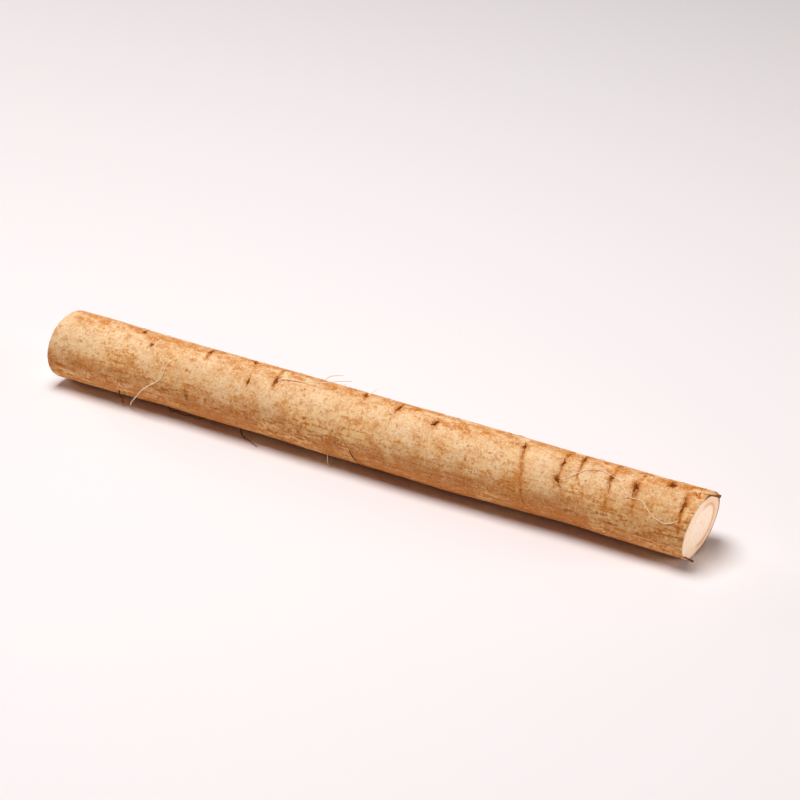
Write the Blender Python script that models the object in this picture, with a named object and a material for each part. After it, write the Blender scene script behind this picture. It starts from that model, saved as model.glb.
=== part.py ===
"""A burdock root: one long, slender taproot, cut off with a knife at both ends and lying on its side.

The root lies along X with its slightly thicker, upper end at -X. A place on it is given by its station,
which is the length along the root from that end, and by its clock angle, which is 0 on top, 90 at the
front (-Y), 180 underneath and 270 at the back (+Y). The origin is on the narrow flat that the root rests
on, under the middle of its length. Everything is in metres.
"""
import math
import random
from collections import namedtuple

import bmesh
import bpy
from mathutils import Matrix, Vector, noise

MM = 0.001

# Overall size.
LENGTH = 0.300
THICK_END_RADIUS = 0.01564
THIN_END_RADIUS = 0.01492
RESTING_FLAT_DEPTH = 0.00030

# Each knife cut slants: its plane runs this far along the root per metre to the back and per metre up.
ThroughCut = namedtuple("ThroughCut", "per_back per_up")
THICK_END_CUT = ThroughCut(0.1955, -0.0036)
THIN_END_CUT = ThroughCut(0.1263, 0.0955)
CUT_SLANT_REACH = 0.090

# Waists and swellings along the root.
Swelling = namedtuple("Swelling", "station reach height")
SWELLINGS = (
    Swelling(0.060, 0.024, -0.00068),
    Swelling(0.102, 0.018, -0.00032),
    Swelling(0.181, 0.028, 0.00050),
    Swelling(0.248, 0.022, -0.00068),
)
SWELLING_SHARE_OF_BEND = 0.5

# The section is not quite round, and the skin is gently lumpy.
OVAL_HEIGHT = 0.00022
OVAL_PHASE = 0.6
OVAL_TURN = 0.7 * math.pi
LUMP_HEIGHT = 0.00030
LUMP_LENGTH = 0.030
LUMP_WIDTH = 0.012

# Growth rings: shallow creases that run part of the way round.
Crease = namedtuple("Crease", "station first_clock last_clock depth")
CREASES = (
    Crease(0.0240, 200, 300, 0.00022),
    Crease(0.0715, -60, 10, 0.00020),
    Crease(0.1070, -30, 30, 0.00026),
    Crease(0.1638, -40, 28, 0.00024),
    Crease(0.1950, 190, 290, 0.00022),
    Crease(0.2255, 0, 100, 0.00030),
    Crease(0.2410, -45, 48, 0.00030),
    Crease(0.2475, -50, 36, 0.00022),
    Crease(0.2625, -30, 62, 0.00026),
    Crease(0.2735, -50, 60, 0.00022),
    Crease(0.2950, 10, 70, 0.00024),
)
CREASE_REACH = 0.0008
CREASE_CUT_OFF = 3.0
CREASE_FADE = math.radians(14)

# Scars where side roots broke off. Each keeps a short torn stump.
Scar = namedtuple("Scar", "station clock size")
FRONT_SCARS = (
    Scar(0.0370, -12, 0.6),
    Scar(0.0455, 16, 0.5),
    Scar(0.0715, -8, 0.6),
    Scar(0.0925, -14, 0.9),
    Scar(0.0958, 32, 0.6),
    Scar(0.1075, 17, 1.0),
    Scar(0.1470, -12, 1.0),
    Scar(0.1640, 0, 0.9),
    Scar(0.1825, 10, 1.0),
    Scar(0.2225, 4, 0.9),
    Scar(0.2410, 14, 0.7),
    Scar(0.2410, 46, 1.0),
    Scar(0.2475, -8, 0.8),
    Scar(0.2620, 16, 0.8),
    Scar(0.2730, 20, 1.3),
    Scar(0.2850, -6, 1.3),
    Scar(0.2945, 27, 0.9),
)
BACK_SCAR_COUNT = 13
BACK_SCAR_CLOCKS = (218, 305)
BACK_SCAR_JITTER = 0.3
BACK_SCAR_SIZES = (0.5, 1.1)
STUMP_SIDES = 7
STUMP_WIDTH = 0.0026
STUMP_LENGTH_ALONG = 0.0014
STUMP_STANDS_OUT = 0.0011
STUMP_SUNK = 0.0015
STUMP_TOP_SHARE = 0.35

# Fine side roots that are still on it, as (station mm, clock degrees, height over the skin mm).
Rootlet = namedtuple("Rootlet", "route start_radius tip_radius")
LONGEST_ROOTLET = Rootlet(
    ((58.4, 33.5, -2.0), (57.8, 36, 0.7), (56.7, 46, 0.9), (56.3, 59, 0.9), (55.3, 69.5, 0.9),
     (52.4, 79, 0.9), (49.6, 87, 1.0), (46.6, 98.5, 1.4), (43.0, 115, 2.3), (40.2, 127, 3.2),
     (38.7, 136, 4.0)), 0.00042, 0.00032)
CURLED_ROOTLET = Rootlet(
    ((107.8, 18, -2.0), (109.4, 13, 0.9), (112.4, 9.5, 1.1), (117.6, 6, 1.1), (126.2, 4.5, 2.6),
     (132.0, 4.2, 4.3), (136.0, 4, 6.0), (142.5, 3.5, 7.8)), 0.00042, 0.00032)
SHORT_ROOTLETS = (
    Rootlet(((33.3, 119, -1.8), (34.2, 121, 1.2), (35.2, 128, 2.6), (35.6, 134, 3.7)), 0.00050, 0.00040),
    Rootlet(((136.2, 120, -1.8), (136.8, 127, 1.7), (137.0, 134, 3.5), (137.6, 138, 4.8)), 0.00036, 0.00030),
    Rootlet(((148.0, 94, -1.8), (149.4, 106, 0.9), (151.1, 118, 1.0), (152.8, 127, 1.3)), 0.00046, 0.00034),
    Rootlet(((147.0, -13, -1.8), (147.9, -20, 1.0), (148.5, -28, 1.8), (148.0, -38, 2.6)), 0.00040, 0.00032),
)
# Rootlets at the back: how far they run along the root (mm), turn round it (degrees) and rise (mm).
BACK_ROOTLET_COUNT = 5
BACK_ROOTLET_RUN = (9, 16)
BACK_ROOTLET_TURN = (10, 26)
BACK_ROOTLET_RISE = (2.0, 4.5)
BACK_ROOTLET_RADII = (0.00042, 0.00032)
ROOTLET_BEVEL_RESOLUTION = 1
SAMPLES_PER_STRETCH = 2

# Slivers of rind left standing at the thinner end's cut: pointed blades, curved as the skin is. Each
# narrows and thins towards its tip by these shares, and its base is sunk into the skin.
RindSliver = namedtuple("RindSliver", "base_station base_clock tip_station tip_clock width thickness")
RIND_SLIVERS = (
    RindSliver(0.2955, -17, 0.3040, -14, 0.0085, 0.0018),
    RindSliver(0.2950, 126, 0.3042, 133, 0.0046, 0.0012),
)
RIND_NARROWING = 0.88
RIND_THINNING = 0.50
RIND_ABOVE_SKIN = 0.00015
RIND_BASE_SUNK = 0.0006
RIND_ROWS = 3
RIND_COLUMNS = 4

# Mesh fineness.
SIDES_ROUND = 36
STATION_STEP = 0.0042
CREASE_STATION_OFFSETS = (-0.0011, 0.0, 0.0011)
CLOSEST_STATIONS = 0.0009
CLEAR_OF_CREASE = STATION_STEP / 3
SLOPE_STEP = 0.0005
MERGE_DISTANCE = 1e-6
SHARP_ANGLE = math.radians(50)
SEED = 11

# Rings of a cut face from its middle to the rim, with how far each stands proud of the cut.
CutRing = namedtuple("CutRing", "share proud")
CUT_RINGS = (
    CutRing(0.0, 0.00010),
    CutRing(0.38, 0.00008),
    CutRing(0.74, 0.0),
    CutRing(0.80, -0.00022),
    CutRing(0.86, -0.00004),
    CutRing(0.975, 0.0),
)
RIM_ROUNDING = 0.00035

# Colours, linear, with roughness.
SKIN_COLOUR = (0.66, 0.36, 0.15, 1.0)
SKIN_ROUGHNESS = 0.72
FLESH_COLOUR = (0.92, 0.72, 0.50, 1.0)
FLESH_ROUGHNESS = 0.60


def clear_scene():
    for obj in list(bpy.data.objects):
        bpy.data.objects.remove(obj, do_unlink=True)


def plain_material(name, colour, roughness):
    material = bpy.data.materials.new(name)
    material.use_nodes = True
    shader = material.node_tree.nodes["Principled BSDF"]
    shader.inputs["Base Color"].default_value = colour
    shader.inputs["Roughness"].default_value = roughness
    shader.inputs["Metallic"].default_value = 0.0
    return material


def taper_radius(station):
    """Radius of the plain tapering rod that the root follows."""
    along = station / LENGTH
    return THICK_END_RADIUS + (THIN_END_RADIUS - THICK_END_RADIUS) * along


def swelling(station):
    return sum(s.height * math.exp(-((station - s.station) / s.reach) ** 2) for s in SWELLINGS)


def crease_depth(station, clock):
    """Depth of the growth rings at a place, fading out at the ends of each ring."""
    depth = 0.0
    for crease in CREASES:
        off = (station - crease.station) / CREASE_REACH
        if abs(off) > CREASE_CUT_OFF:
            continue
        middle = math.radians(0.5 * (crease.first_clock + crease.last_clock))
        half = math.radians(0.5 * (crease.last_clock - crease.first_clock))
        turn = abs(math.remainder(clock - middle, 2 * math.pi))
        fade = min(max((half + CREASE_FADE - turn) / CREASE_FADE, 0.0), 1.0)
        depth += crease.depth * fade * math.exp(-off * off)
    return depth


def skin_radius(station, clock):
    """Distance from the root's axis to its skin."""
    oval = OVAL_HEIGHT * math.cos(2 * clock - OVAL_PHASE - OVAL_TURN * station / LENGTH)
    place = Vector((station / LUMP_LENGTH,
                    taper_radius(station) * math.cos(clock) / LUMP_WIDTH,
                    taper_radius(station) * math.sin(clock) / LUMP_WIDTH))
    lumps = LUMP_HEIGHT * noise.noise(place)
    swell = swelling(station) * (1 - SWELLING_SHARE_OF_BEND)
    return taper_radius(station) + swell + oval + lumps - crease_depth(station, clock)


def axis_back(station):
    """The axis bends a little to the front where the root swells and to the back at its waists."""
    return -swelling(station) * SWELLING_SHARE_OF_BEND


def axis_height(station):
    return taper_radius(station) - RESTING_FLAT_DEPTH


def root_point(station, clock, share=1.0, lift=0.0):
    """Point at a share of the way from the axis to the skin, or lifted off the skin."""
    radius = skin_radius(station, clock) * share + lift
    back = axis_back(station) - radius * math.sin(clock)
    height = max(axis_height(station) + radius * math.cos(clock), 0.0)
    up = height - axis_height(station)
    thick_fade = max(1 - station / CUT_SLANT_REACH, 0.0) ** 2
    thin_fade = max(1 - (LENGTH - station) / CUT_SLANT_REACH, 0.0) ** 2
    along = station - LENGTH / 2
    along += thick_fade * (THICK_END_CUT.per_back * back + THICK_END_CUT.per_up * up)
    along += thin_fade * (THIN_END_CUT.per_back * back + THIN_END_CUT.per_up * up)
    return Vector((along, back, height))


def skin_frame(station, clock):
    """Matrix standing on the skin: X round the root, Y along it, Z outward."""
    origin = root_point(station, clock)
    ahead = root_point(station + SLOPE_STEP, clock)
    behind = root_point(station - SLOPE_STEP, clock)
    along = (ahead - behind).normalized()
    outward = Vector((0.0, -math.sin(clock), math.cos(clock)))
    outward = (outward - along * outward.dot(along)).normalized()
    across = along.cross(outward)
    turned = Matrix((across, along, outward)).transposed().to_4x4()
    return Matrix.Translation(origin) @ turned


def ring_stations():
    """Even stations from end to end, closer together at each growth ring."""
    count = round(LENGTH / STATION_STEP)
    fine = sorted(c.station + offset for c in CREASES for offset in CREASE_STATION_OFFSETS)
    even = [LENGTH * i / count for i in range(1, count)]
    clear = [s for s in even if min(abs(s - f) for f in fine) > CLEAR_OF_CREASE]
    kept = [RIM_ROUNDING]
    for station in sorted(clear + fine):
        if station - kept[-1] >= CLOSEST_STATIONS:
            kept.append(station)
    kept.append(LENGTH - RIM_ROUNDING)
    return kept


def add_body(skin, flesh):
    """Spins a unit rod from a profile, then moves every point to its place on the root."""
    far_end = [(0.0, ring.share, -ring.proud) for ring in CUT_RINGS]
    sides = [(station, 1.0, 0.0) for station in ring_stations()]
    near_end = [(LENGTH, ring.share, ring.proud) for ring in reversed(CUT_RINGS)]
    profile = far_end + sides + near_end
    bm = bmesh.new()
    step_layer = bm.verts.layers.int.new("profile_step")
    line = []
    for step, (station, share, proud) in enumerate(profile):
        vert = bm.verts.new((station, 0.0, share))
        vert[step_layer] = step
        line.append(vert)
    edges = [bm.edges.new(pair) for pair in zip(line, line[1:])]
    bmesh.ops.spin(bm, geom=line + edges, cent=(0, 0, 0), axis=(1, 0, 0), dvec=(0, 0, 0),
                   angle=2 * math.pi, steps=SIDES_ROUND, use_merge=True, use_duplicate=False)
    bmesh.ops.remove_doubles(bm, verts=bm.verts, dist=MERGE_DISTANCE)
    last_flesh_step = len(far_end) - 1
    first_flesh_step = len(profile) - len(near_end)
    for face in bm.faces:
        steps = [vert[step_layer] for vert in face.verts]
        face.material_index = int(max(steps) <= last_flesh_step or min(steps) >= first_flesh_step)
        face.smooth = True
    for vert in bm.verts:
        station, share, proud = profile[vert[step_layer]]
        clock = math.atan2(-vert.co.y, vert.co.z)
        vert.co = root_point(station, clock, share)
        vert.co.x += proud
    bmesh.ops.recalc_face_normals(bm, faces=bm.faces)
    bmesh.ops.triangulate(bm, faces=bm.faces)
    mesh = bpy.data.meshes.new("burdock_root")
    bm.to_mesh(mesh)
    bm.free()
    mesh.materials.append(skin)
    mesh.materials.append(flesh)
    body = bpy.data.objects.new("burdock_root", mesh)
    bpy.context.scene.collection.objects.link(body)
    return body


def add_mesh_object(collection, name, bm):
    mesh = bpy.data.meshes.new(name)
    bm.to_mesh(mesh)
    bm.free()
    obj = bpy.data.objects.new(name, mesh)
    collection.objects.link(obj)
    return obj


def add_stump(collection, scar):
    """A torn stump: a low cone, wider round the root than along it."""
    frame = skin_frame(scar.station, math.radians(scar.clock))
    width = STUMP_WIDTH * scar.size
    height = STUMP_STANDS_OUT * scar.size + STUMP_SUNK
    narrow = Matrix.Diagonal((1.0, STUMP_LENGTH_ALONG / STUMP_WIDTH, 1.0, 1.0))
    raise_up = Matrix.Translation((0, 0, height / 2 - STUMP_SUNK))
    bm = bmesh.new()
    bmesh.ops.create_cone(bm, cap_ends=True, segments=STUMP_SIDES, radius1=width / 2,
                          radius2=width / 2 * STUMP_TOP_SHARE, depth=height,
                          matrix=frame @ raise_up @ narrow)
    return add_mesh_object(collection, "stump", bm)


def smooth_route(route):
    """Catmull-Rom points through a rootlet's route, then placed round the root."""
    places = [Vector(place) for place in route]
    padded = [places[0]] + places + [places[-1]]
    smooth = []
    for before, start, end, after in zip(padded, padded[1:], padded[2:], padded[3:]):
        for sample in range(SAMPLES_PER_STRETCH):
            t = sample / SAMPLES_PER_STRETCH
            curve = 2 * start + (end - before) * t
            curve += (2 * before - 5 * start + 4 * end - after) * t ** 2
            curve += (3 * start - before - 3 * end + after) * t ** 3
            smooth.append(curve / 2)
    smooth.append(places[-1])
    return [root_point(place.x * MM, math.radians(place.y), lift=place.z * MM) for place in smooth]


def add_rootlet(collection, rootlet):
    """A thin tapering thread, made as a bevelled curve with closed ends."""
    points = smooth_route(rootlet.route)
    curve = bpy.data.curves.new("rootlet", "CURVE")
    curve.dimensions = "3D"
    curve.bevel_depth = rootlet.start_radius
    curve.bevel_resolution = ROOTLET_BEVEL_RESOLUTION
    curve.use_fill_caps = True
    spline = curve.splines.new("POLY")
    spline.points.add(len(points) - 1)
    for index, (knot, point) in enumerate(zip(spline.points, points)):
        knot.co = (*point, 1.0)
        along = index / (len(points) - 1)
        knot.radius = 1 + (rootlet.tip_radius / rootlet.start_radius - 1) * along
    source = bpy.data.objects.new("rootlet_curve", curve)
    collection.objects.link(source)
    evaluated = source.evaluated_get(bpy.context.evaluated_depsgraph_get())
    mesh = bpy.data.meshes.new_from_object(evaluated)
    bpy.data.objects.remove(source, do_unlink=True)
    thread = bpy.data.objects.new("rootlet", mesh)
    collection.objects.link(thread)
    return thread


def add_rind_sliver(collection, sliver):
    """A pointed blade of rind that the knife left standing past the cut."""
    clock = math.radians(sliver.base_clock)
    start = root_point(sliver.base_station, clock)
    tip = root_point(sliver.tip_station, math.radians(sliver.tip_clock))
    along = (tip - start).normalized()
    outward = Vector((0.0, -math.sin(clock), math.cos(clock)))
    outward = (outward - along * outward.dot(along)).normalized()
    turned = Matrix((along, outward.cross(along), outward)).transposed().to_4x4()
    bm = bmesh.new()
    bmesh.ops.create_grid(bm, x_segments=RIND_ROWS, y_segments=RIND_COLUMNS, size=0.5)
    grown = bmesh.ops.extrude_face_region(bm, geom=bm.faces[:])
    under = {item for item in grown["geom"] if isinstance(item, bmesh.types.BMVert)}
    for vert in bm.verts:
        far = vert.co.x + 0.5
        across = sliver.width * vert.co.y * (1 - RIND_NARROWING * far)
        fall = across ** 2 / (2 * taper_radius(sliver.base_station))
        height = RIND_ABOVE_SKIN - RIND_BASE_SUNK * (1 - far) ** 2 - fall
        if vert in under:
            height -= sliver.thickness * (1 - RIND_THINNING * far)
        vert.co = (far * (tip - start).length, across, height)
    bmesh.ops.transform(bm, matrix=Matrix.Translation(start) @ turned, verts=bm.verts)
    bmesh.ops.recalc_face_normals(bm, faces=bm.faces)
    return add_mesh_object(collection, "rind_sliver", bm)


def back_scars(rng):
    """Scars for the side turned away, spread evenly along it with a seeded jitter."""
    first, last = BACK_SCAR_CLOCKS
    spacing = LENGTH / BACK_SCAR_COUNT
    scars = []
    for index in range(BACK_SCAR_COUNT):
        station = spacing * (index + 0.5 + rng.uniform(-BACK_SCAR_JITTER, BACK_SCAR_JITTER))
        scars.append(Scar(station, rng.uniform(first, last), rng.uniform(*BACK_SCAR_SIZES)))
    return scars


def back_rootlet(rng, scar):
    """A rootlet that rises from a scar at the back and curls along the root."""
    run = rng.choice((-1, 1)) * rng.uniform(*BACK_ROOTLET_RUN)
    turn = rng.uniform(*BACK_ROOTLET_TURN)
    rise = rng.uniform(*BACK_ROOTLET_RISE)
    station = scar.station / MM
    route = ((station, scar.clock, -2.0),
             (station + run * 0.10, scar.clock + turn * 0.15, 0.9),
             (station + run * 0.45, scar.clock + turn * 0.70, rise * 0.6),
             (station + run, scar.clock + turn, rise))
    return Rootlet(route, *BACK_ROOTLET_RADII)


def fuse(body, collection):
    """Joins the repeats of a collection to the body in one union, and removes them."""
    union = body.modifiers.new("growths", "BOOLEAN")
    union.operation = "UNION"
    union.operand_type = "COLLECTION"
    union.collection = collection
    union.solver = "EXACT"
    bpy.context.view_layer.update()
    evaluated = body.evaluated_get(bpy.context.evaluated_depsgraph_get())
    fused = bpy.data.meshes.new_from_object(evaluated)
    body.modifiers.remove(union)
    plain = body.data
    body.data = fused
    bpy.data.meshes.remove(plain)
    fused.name = body.name
    for obj in list(collection.objects):
        bpy.data.objects.remove(obj, do_unlink=True)
    bpy.data.collections.remove(collection)


def add_burdock_root():
    skin = plain_material("root_skin", SKIN_COLOUR, SKIN_ROUGHNESS)
    flesh = plain_material("cut_flesh", FLESH_COLOUR, FLESH_ROUGHNESS)
    body = add_body(skin, flesh)
    growths = bpy.data.collections.new("growths")
    bpy.context.scene.collection.children.link(growths)
    rng = random.Random(SEED)
    hidden = back_scars(rng)
    for scar in (*FRONT_SCARS, *hidden):
        add_stump(growths, scar)
    with_rootlet = hidden[1::max(BACK_SCAR_COUNT // BACK_ROOTLET_COUNT, 1)][:BACK_ROOTLET_COUNT]
    rootlets = [LONGEST_ROOTLET, CURLED_ROOTLET, *SHORT_ROOTLETS]
    rootlets += [back_rootlet(rng, scar) for scar in with_rootlet]
    for rootlet in rootlets:
        add_rootlet(growths, rootlet)
    for sliver in RIND_SLIVERS:
        add_rind_sliver(growths, sliver)
    fuse(body, growths)
    body.data.set_sharp_from_angle(angle=SHARP_ANGLE)
    return body


clear_scene()
add_burdock_root()
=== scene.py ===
"""Dresses a burdock root: fine skin relief, cut faces, torn scars, rootlets, and a plain pale studio.

A place on the root is given by its station, which is the length along the root from its thicker end at
-X, and by its clock angle: 0 on top, 90 at the front (-Y), 180 underneath and 270 at the back (+Y).
"""
import math
import random
from collections import namedtuple

import bmesh
import bpy
from bpy.props import FloatProperty, FloatVectorProperty, PointerProperty
from mathutils import Matrix, Vector, noise


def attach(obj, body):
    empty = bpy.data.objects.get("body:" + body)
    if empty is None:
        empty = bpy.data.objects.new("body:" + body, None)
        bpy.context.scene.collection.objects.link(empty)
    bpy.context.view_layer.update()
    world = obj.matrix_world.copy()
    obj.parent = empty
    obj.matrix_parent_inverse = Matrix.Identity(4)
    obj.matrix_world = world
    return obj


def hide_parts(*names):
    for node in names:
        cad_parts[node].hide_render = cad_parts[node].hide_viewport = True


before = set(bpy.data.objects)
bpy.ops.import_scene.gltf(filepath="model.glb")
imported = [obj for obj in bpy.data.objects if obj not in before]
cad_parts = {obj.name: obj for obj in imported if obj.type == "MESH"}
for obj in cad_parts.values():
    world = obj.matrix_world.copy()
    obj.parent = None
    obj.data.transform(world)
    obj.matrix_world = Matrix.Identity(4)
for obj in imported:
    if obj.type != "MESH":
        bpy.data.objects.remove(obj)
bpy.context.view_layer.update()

bl_info = {
    "name": "Burdock Root",
    "version": (1, 0, 0),
    "blender": (4, 5, 0),
    "location": "View3D > Sidebar > Burdock",
    "description": "Builds a burdock root with its skin, cut faces, scars and rootlets",
    "category": "Add Mesh",
}

MM = 0.001
BODY = "root"
ROOT_NODE = "burdock_root"

# Form of the root, as in its solid.
RESTING_FLAT_DEPTH = 0.00030
ThroughCut = namedtuple("ThroughCut", "per_back per_up")
THICK_END_CUT = ThroughCut(0.1955, -0.0036)
THIN_END_CUT = ThroughCut(0.1263, 0.0955)
CUT_SLANT_REACH = 0.090
Swelling = namedtuple("Swelling", "station reach height")
SWELLINGS = (
    Swelling(0.060, 0.024, -0.00068),
    Swelling(0.102, 0.018, -0.00032),
    Swelling(0.181, 0.028, 0.00050),
    Swelling(0.248, 0.022, -0.00068),
)
SWELLING_SHARE_OF_BEND = 0.5
OVAL_HEIGHT = 0.00022
OVAL_START = 0.6
OVAL_TURN = 0.7 * math.pi
LUMP_HEIGHT = 0.00030
LUMP_LENGTH = 0.030
LUMP_WIDTH = 0.012

# Growth rings. Drift is how far a ring runs along the root per radian round it.
Crease = namedtuple("Crease", "station first_clock last_clock depth drift")
CREASES = (
    Crease(0.0240, 200, 300, 0.00022, 0.0008),
    Crease(0.0680, 74, 92, 0.00012, 0.0040),
    Crease(0.0715, -60, 10, 0.00020, 0.0010),
    Crease(0.1070, -30, 30, 0.00026, 0.0006),
    Crease(0.1270, 190, 330, 0.00016, -0.0010),
    Crease(0.1638, -40, 28, 0.00024, -0.0004),
    Crease(0.1950, 190, 290, 0.00022, 0.0008),
    Crease(0.2255, 0, 100, 0.00026, 0.0036),
    Crease(0.2410, -45, 48, 0.00028, 0.0004),
    Crease(0.2475, -50, 36, 0.00020, 0.0020),
    Crease(0.2480, 180, 300, 0.00018, -0.0012),
    Crease(0.2625, -30, 62, 0.00026, 0.0016),
    Crease(0.2735, -50, 60, 0.00020, 0.0018),
    Crease(0.2950, 10, 70, 0.00024, 0.0030),
)
CREASE_REACH = 0.00036
CREASE_CORE_REACH = 1.3 * CREASE_REACH
CREASE_LIP_OFFSET = 0.0009
CREASE_LIP_REACH = 0.0005
CREASE_LIP_SHARE = 0.4
CREASE_LEAST_DEPTH = 0.4
CREASE_FADE = math.radians(14)
CREASE_LOOK_REACH = 0.005
CREASE_BAND_REACH = 0.0012
CREASE_BAND_SHARE = 0.80

# How a growth ring varies round the root: its mean and strength, its waves per radian, its step from one
# ring to the next, and its seed.
RingNoise = namedtuple("RingNoise", "mean strength waves step seed")
RING_WANDER = RingNoise(0.0, 0.00045, 3.1, 7.3, 0.0)
RING_STRENGTH = RingNoise(0.65, 0.6, 9.0, 3.7, 5.0)
RING_BREAKS = RingNoise(0.35, 1.4, 5.0, 3.7, 9.0)
RING_BAND_WIDTH = RingNoise(1.0, 1.1, 2.2, 3.7, 2.0)

# Scars where side roots broke off. Lean turns a scar on the skin, tail is its torn streak round the root.
Scar = namedtuple("Scar", "station clock size lean tail")
FRONT_SCARS = (
    Scar(0.0370, -12, 0.6, 10, 3.0),
    Scar(0.0455, 16, 0.5, 30, 0.0),
    Scar(0.0715, -8, 0.6, -10, 3.0),
    Scar(0.0925, -14, 0.9, 40, 0.0),
    Scar(0.0958, 32, 0.6, 0, 0.0),
    Scar(0.1075, 17, 1.0, 8, 3.0),
    Scar(0.1470, -12, 1.0, 20, 2.5),
    Scar(0.1640, 0, 0.9, 0, 6.0),
    Scar(0.1825, 10, 1.0, -24, 0.0),
    Scar(0.2225, 4, 0.9, 14, 8.0),
    Scar(0.2410, 14, 0.7, 8, 6.0),
    Scar(0.2410, 46, 1.0, 60, 0.0),
    Scar(0.2475, -8, 0.8, 12, 3.0),
    Scar(0.2620, 16, 0.8, 8, 8.0),
    Scar(0.2730, 20, 1.3, 14, 6.0),
    Scar(0.2850, -6, 1.3, 40, 0.0),
    Scar(0.2945, 27, 0.9, 10, 8.0),
)
BACK_SCAR_COUNT = 13
BACK_SCAR_CLOCKS = (218, 305)
BACK_SCAR_JITTER = 0.3
BACK_SCAR_SIZE = (0.5, 1.1)
BACK_SCAR_LEAN = 25
BACK_SCAR_TAIL = (4, 3)
SOLID_SEED = 11
SCAR_LOOK_REACH = 0.009

# Form of a scar of size 1, in millimetres on the skin. Its two legs are torn streaks: a long one straight
# round the root, and a short one that slants towards the thinner end.
SCAR_FARTHEST_ROUND = 12
SCAR_WARP_WAVES = 0.9
SCAR_WARP_STEP = 3.0
SCAR_WARP_ALONG = 0.75
SCAR_WARP_ROUND = 0.95
SCAR_OVAL = 1.5
SCAR_LIP_HEIGHT = 0.00026
SCAR_LIP_PLACE = 1.75
SCAR_LIP_REACH = 0.6
SCAR_PIT_DEPTH = 0.00042
SCAR_PIT_REACH = 1 / 1.15
SCAR_CORE_REACH = 0.64
SCAR_HALO_SHARE = 0.58
SCAR_HALO_REACH = 2.1
SHORTEST_TAIL = 2.2
TAIL_FADES_FROM = 0.45
TAIL_WIDTH = 0.8
TAIL_LEAST_WIDTH = 0.1
TAIL_SHARE = 0.45
LONG_LEG_SLANT = -0.10
LONG_LEG_WIDTH = 0.26
SHORT_LEG_SLANT = 0.8
SHORT_LEG_WIDTH = 0.5
SHORT_LEG_FADE = (0.8, 2.0)
LEG_DEPTH = 0.00010
LEG_SHARE = 0.85
LEG_DARK_FADE = (0.7, 0.8)
LEG_DARK_LENGTH = 1.5

# Small brown spots in the skin.
Spot = namedtuple("Spot", "station clock radius")
FRONT_SPOTS = (
    Spot(0.0570, 86, 0.0013), Spot(0.0562, 92, 0.0011), Spot(0.0665, 23, 0.0010), Spot(0.0665, 42, 0.0008),
    Spot(0.0920, 62, 0.0006), Spot(0.1110, 57, 0.0006), Spot(0.1215, 18, 0.0006), Spot(0.1270, 35, 0.0007),
    Spot(0.1262, 64, 0.0011), Spot(0.1278, 70, 0.0009), Spot(0.1368, 42, 0.0007), Spot(0.1370, 45, 0.0005),
    Spot(0.1640, 40, 0.0006), Spot(0.1768, 45, 0.0008), Spot(0.1855, 40, 0.0005), Spot(0.1950, 21, 0.0006),
    Spot(0.1962, 12, 0.0005), Spot(0.2895, 78, 0.0007), Spot(0.0055, 94, 0.0012), Spot(0.0215, 88, 0.0010),
    Spot(0.0285, 92, 0.0010), Spot(0.1060, 66, 0.0007), Spot(0.1400, 70, 0.0007), Spot(0.2010, 55, 0.0006),
    Spot(0.0016, 101, 0.0011), Spot(0.0052, 108, 0.0010), Spot(0.0115, 101, 0.0008),
    Spot(0.0185, 84, 0.0007), Spot(0.0100, 113, 0.0009), Spot(0.0310, 103, 0.0008),
    Spot(0.0430, 96, 0.0007), Spot(0.0020, 88, 0.0008),
    Spot(0.2925, -14, 0.0022), Spot(0.2960, 0, 0.0020), Spot(0.2950, -22, 0.0034), Spot(0.2982, 6, 0.0014),
    Spot(0.0900, -21, 0.0022), Spot(0.1120, -12, 0.0016), Spot(0.1180, -22, 0.0024),
    Spot(0.1720, -12, 0.0022), Spot(0.2080, -18, 0.0020), Spot(0.2560, -16, 0.0018),
)
LOW_SPOT_CLOCKS = (75, 260)
LOW_SPOT_STRETCH = 2.4
BACK_SPOT_COUNT = 40
BACK_SPOT_CLOCKS = (130, 345)
BACK_SPOT_RADIUS = (0.0004, 0.0011)
SPOT_MARGIN = 0.004
SPOT_LOOK_REACH = 3 * LOW_SPOT_STRETCH
SPOT_SEED = 23

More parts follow.
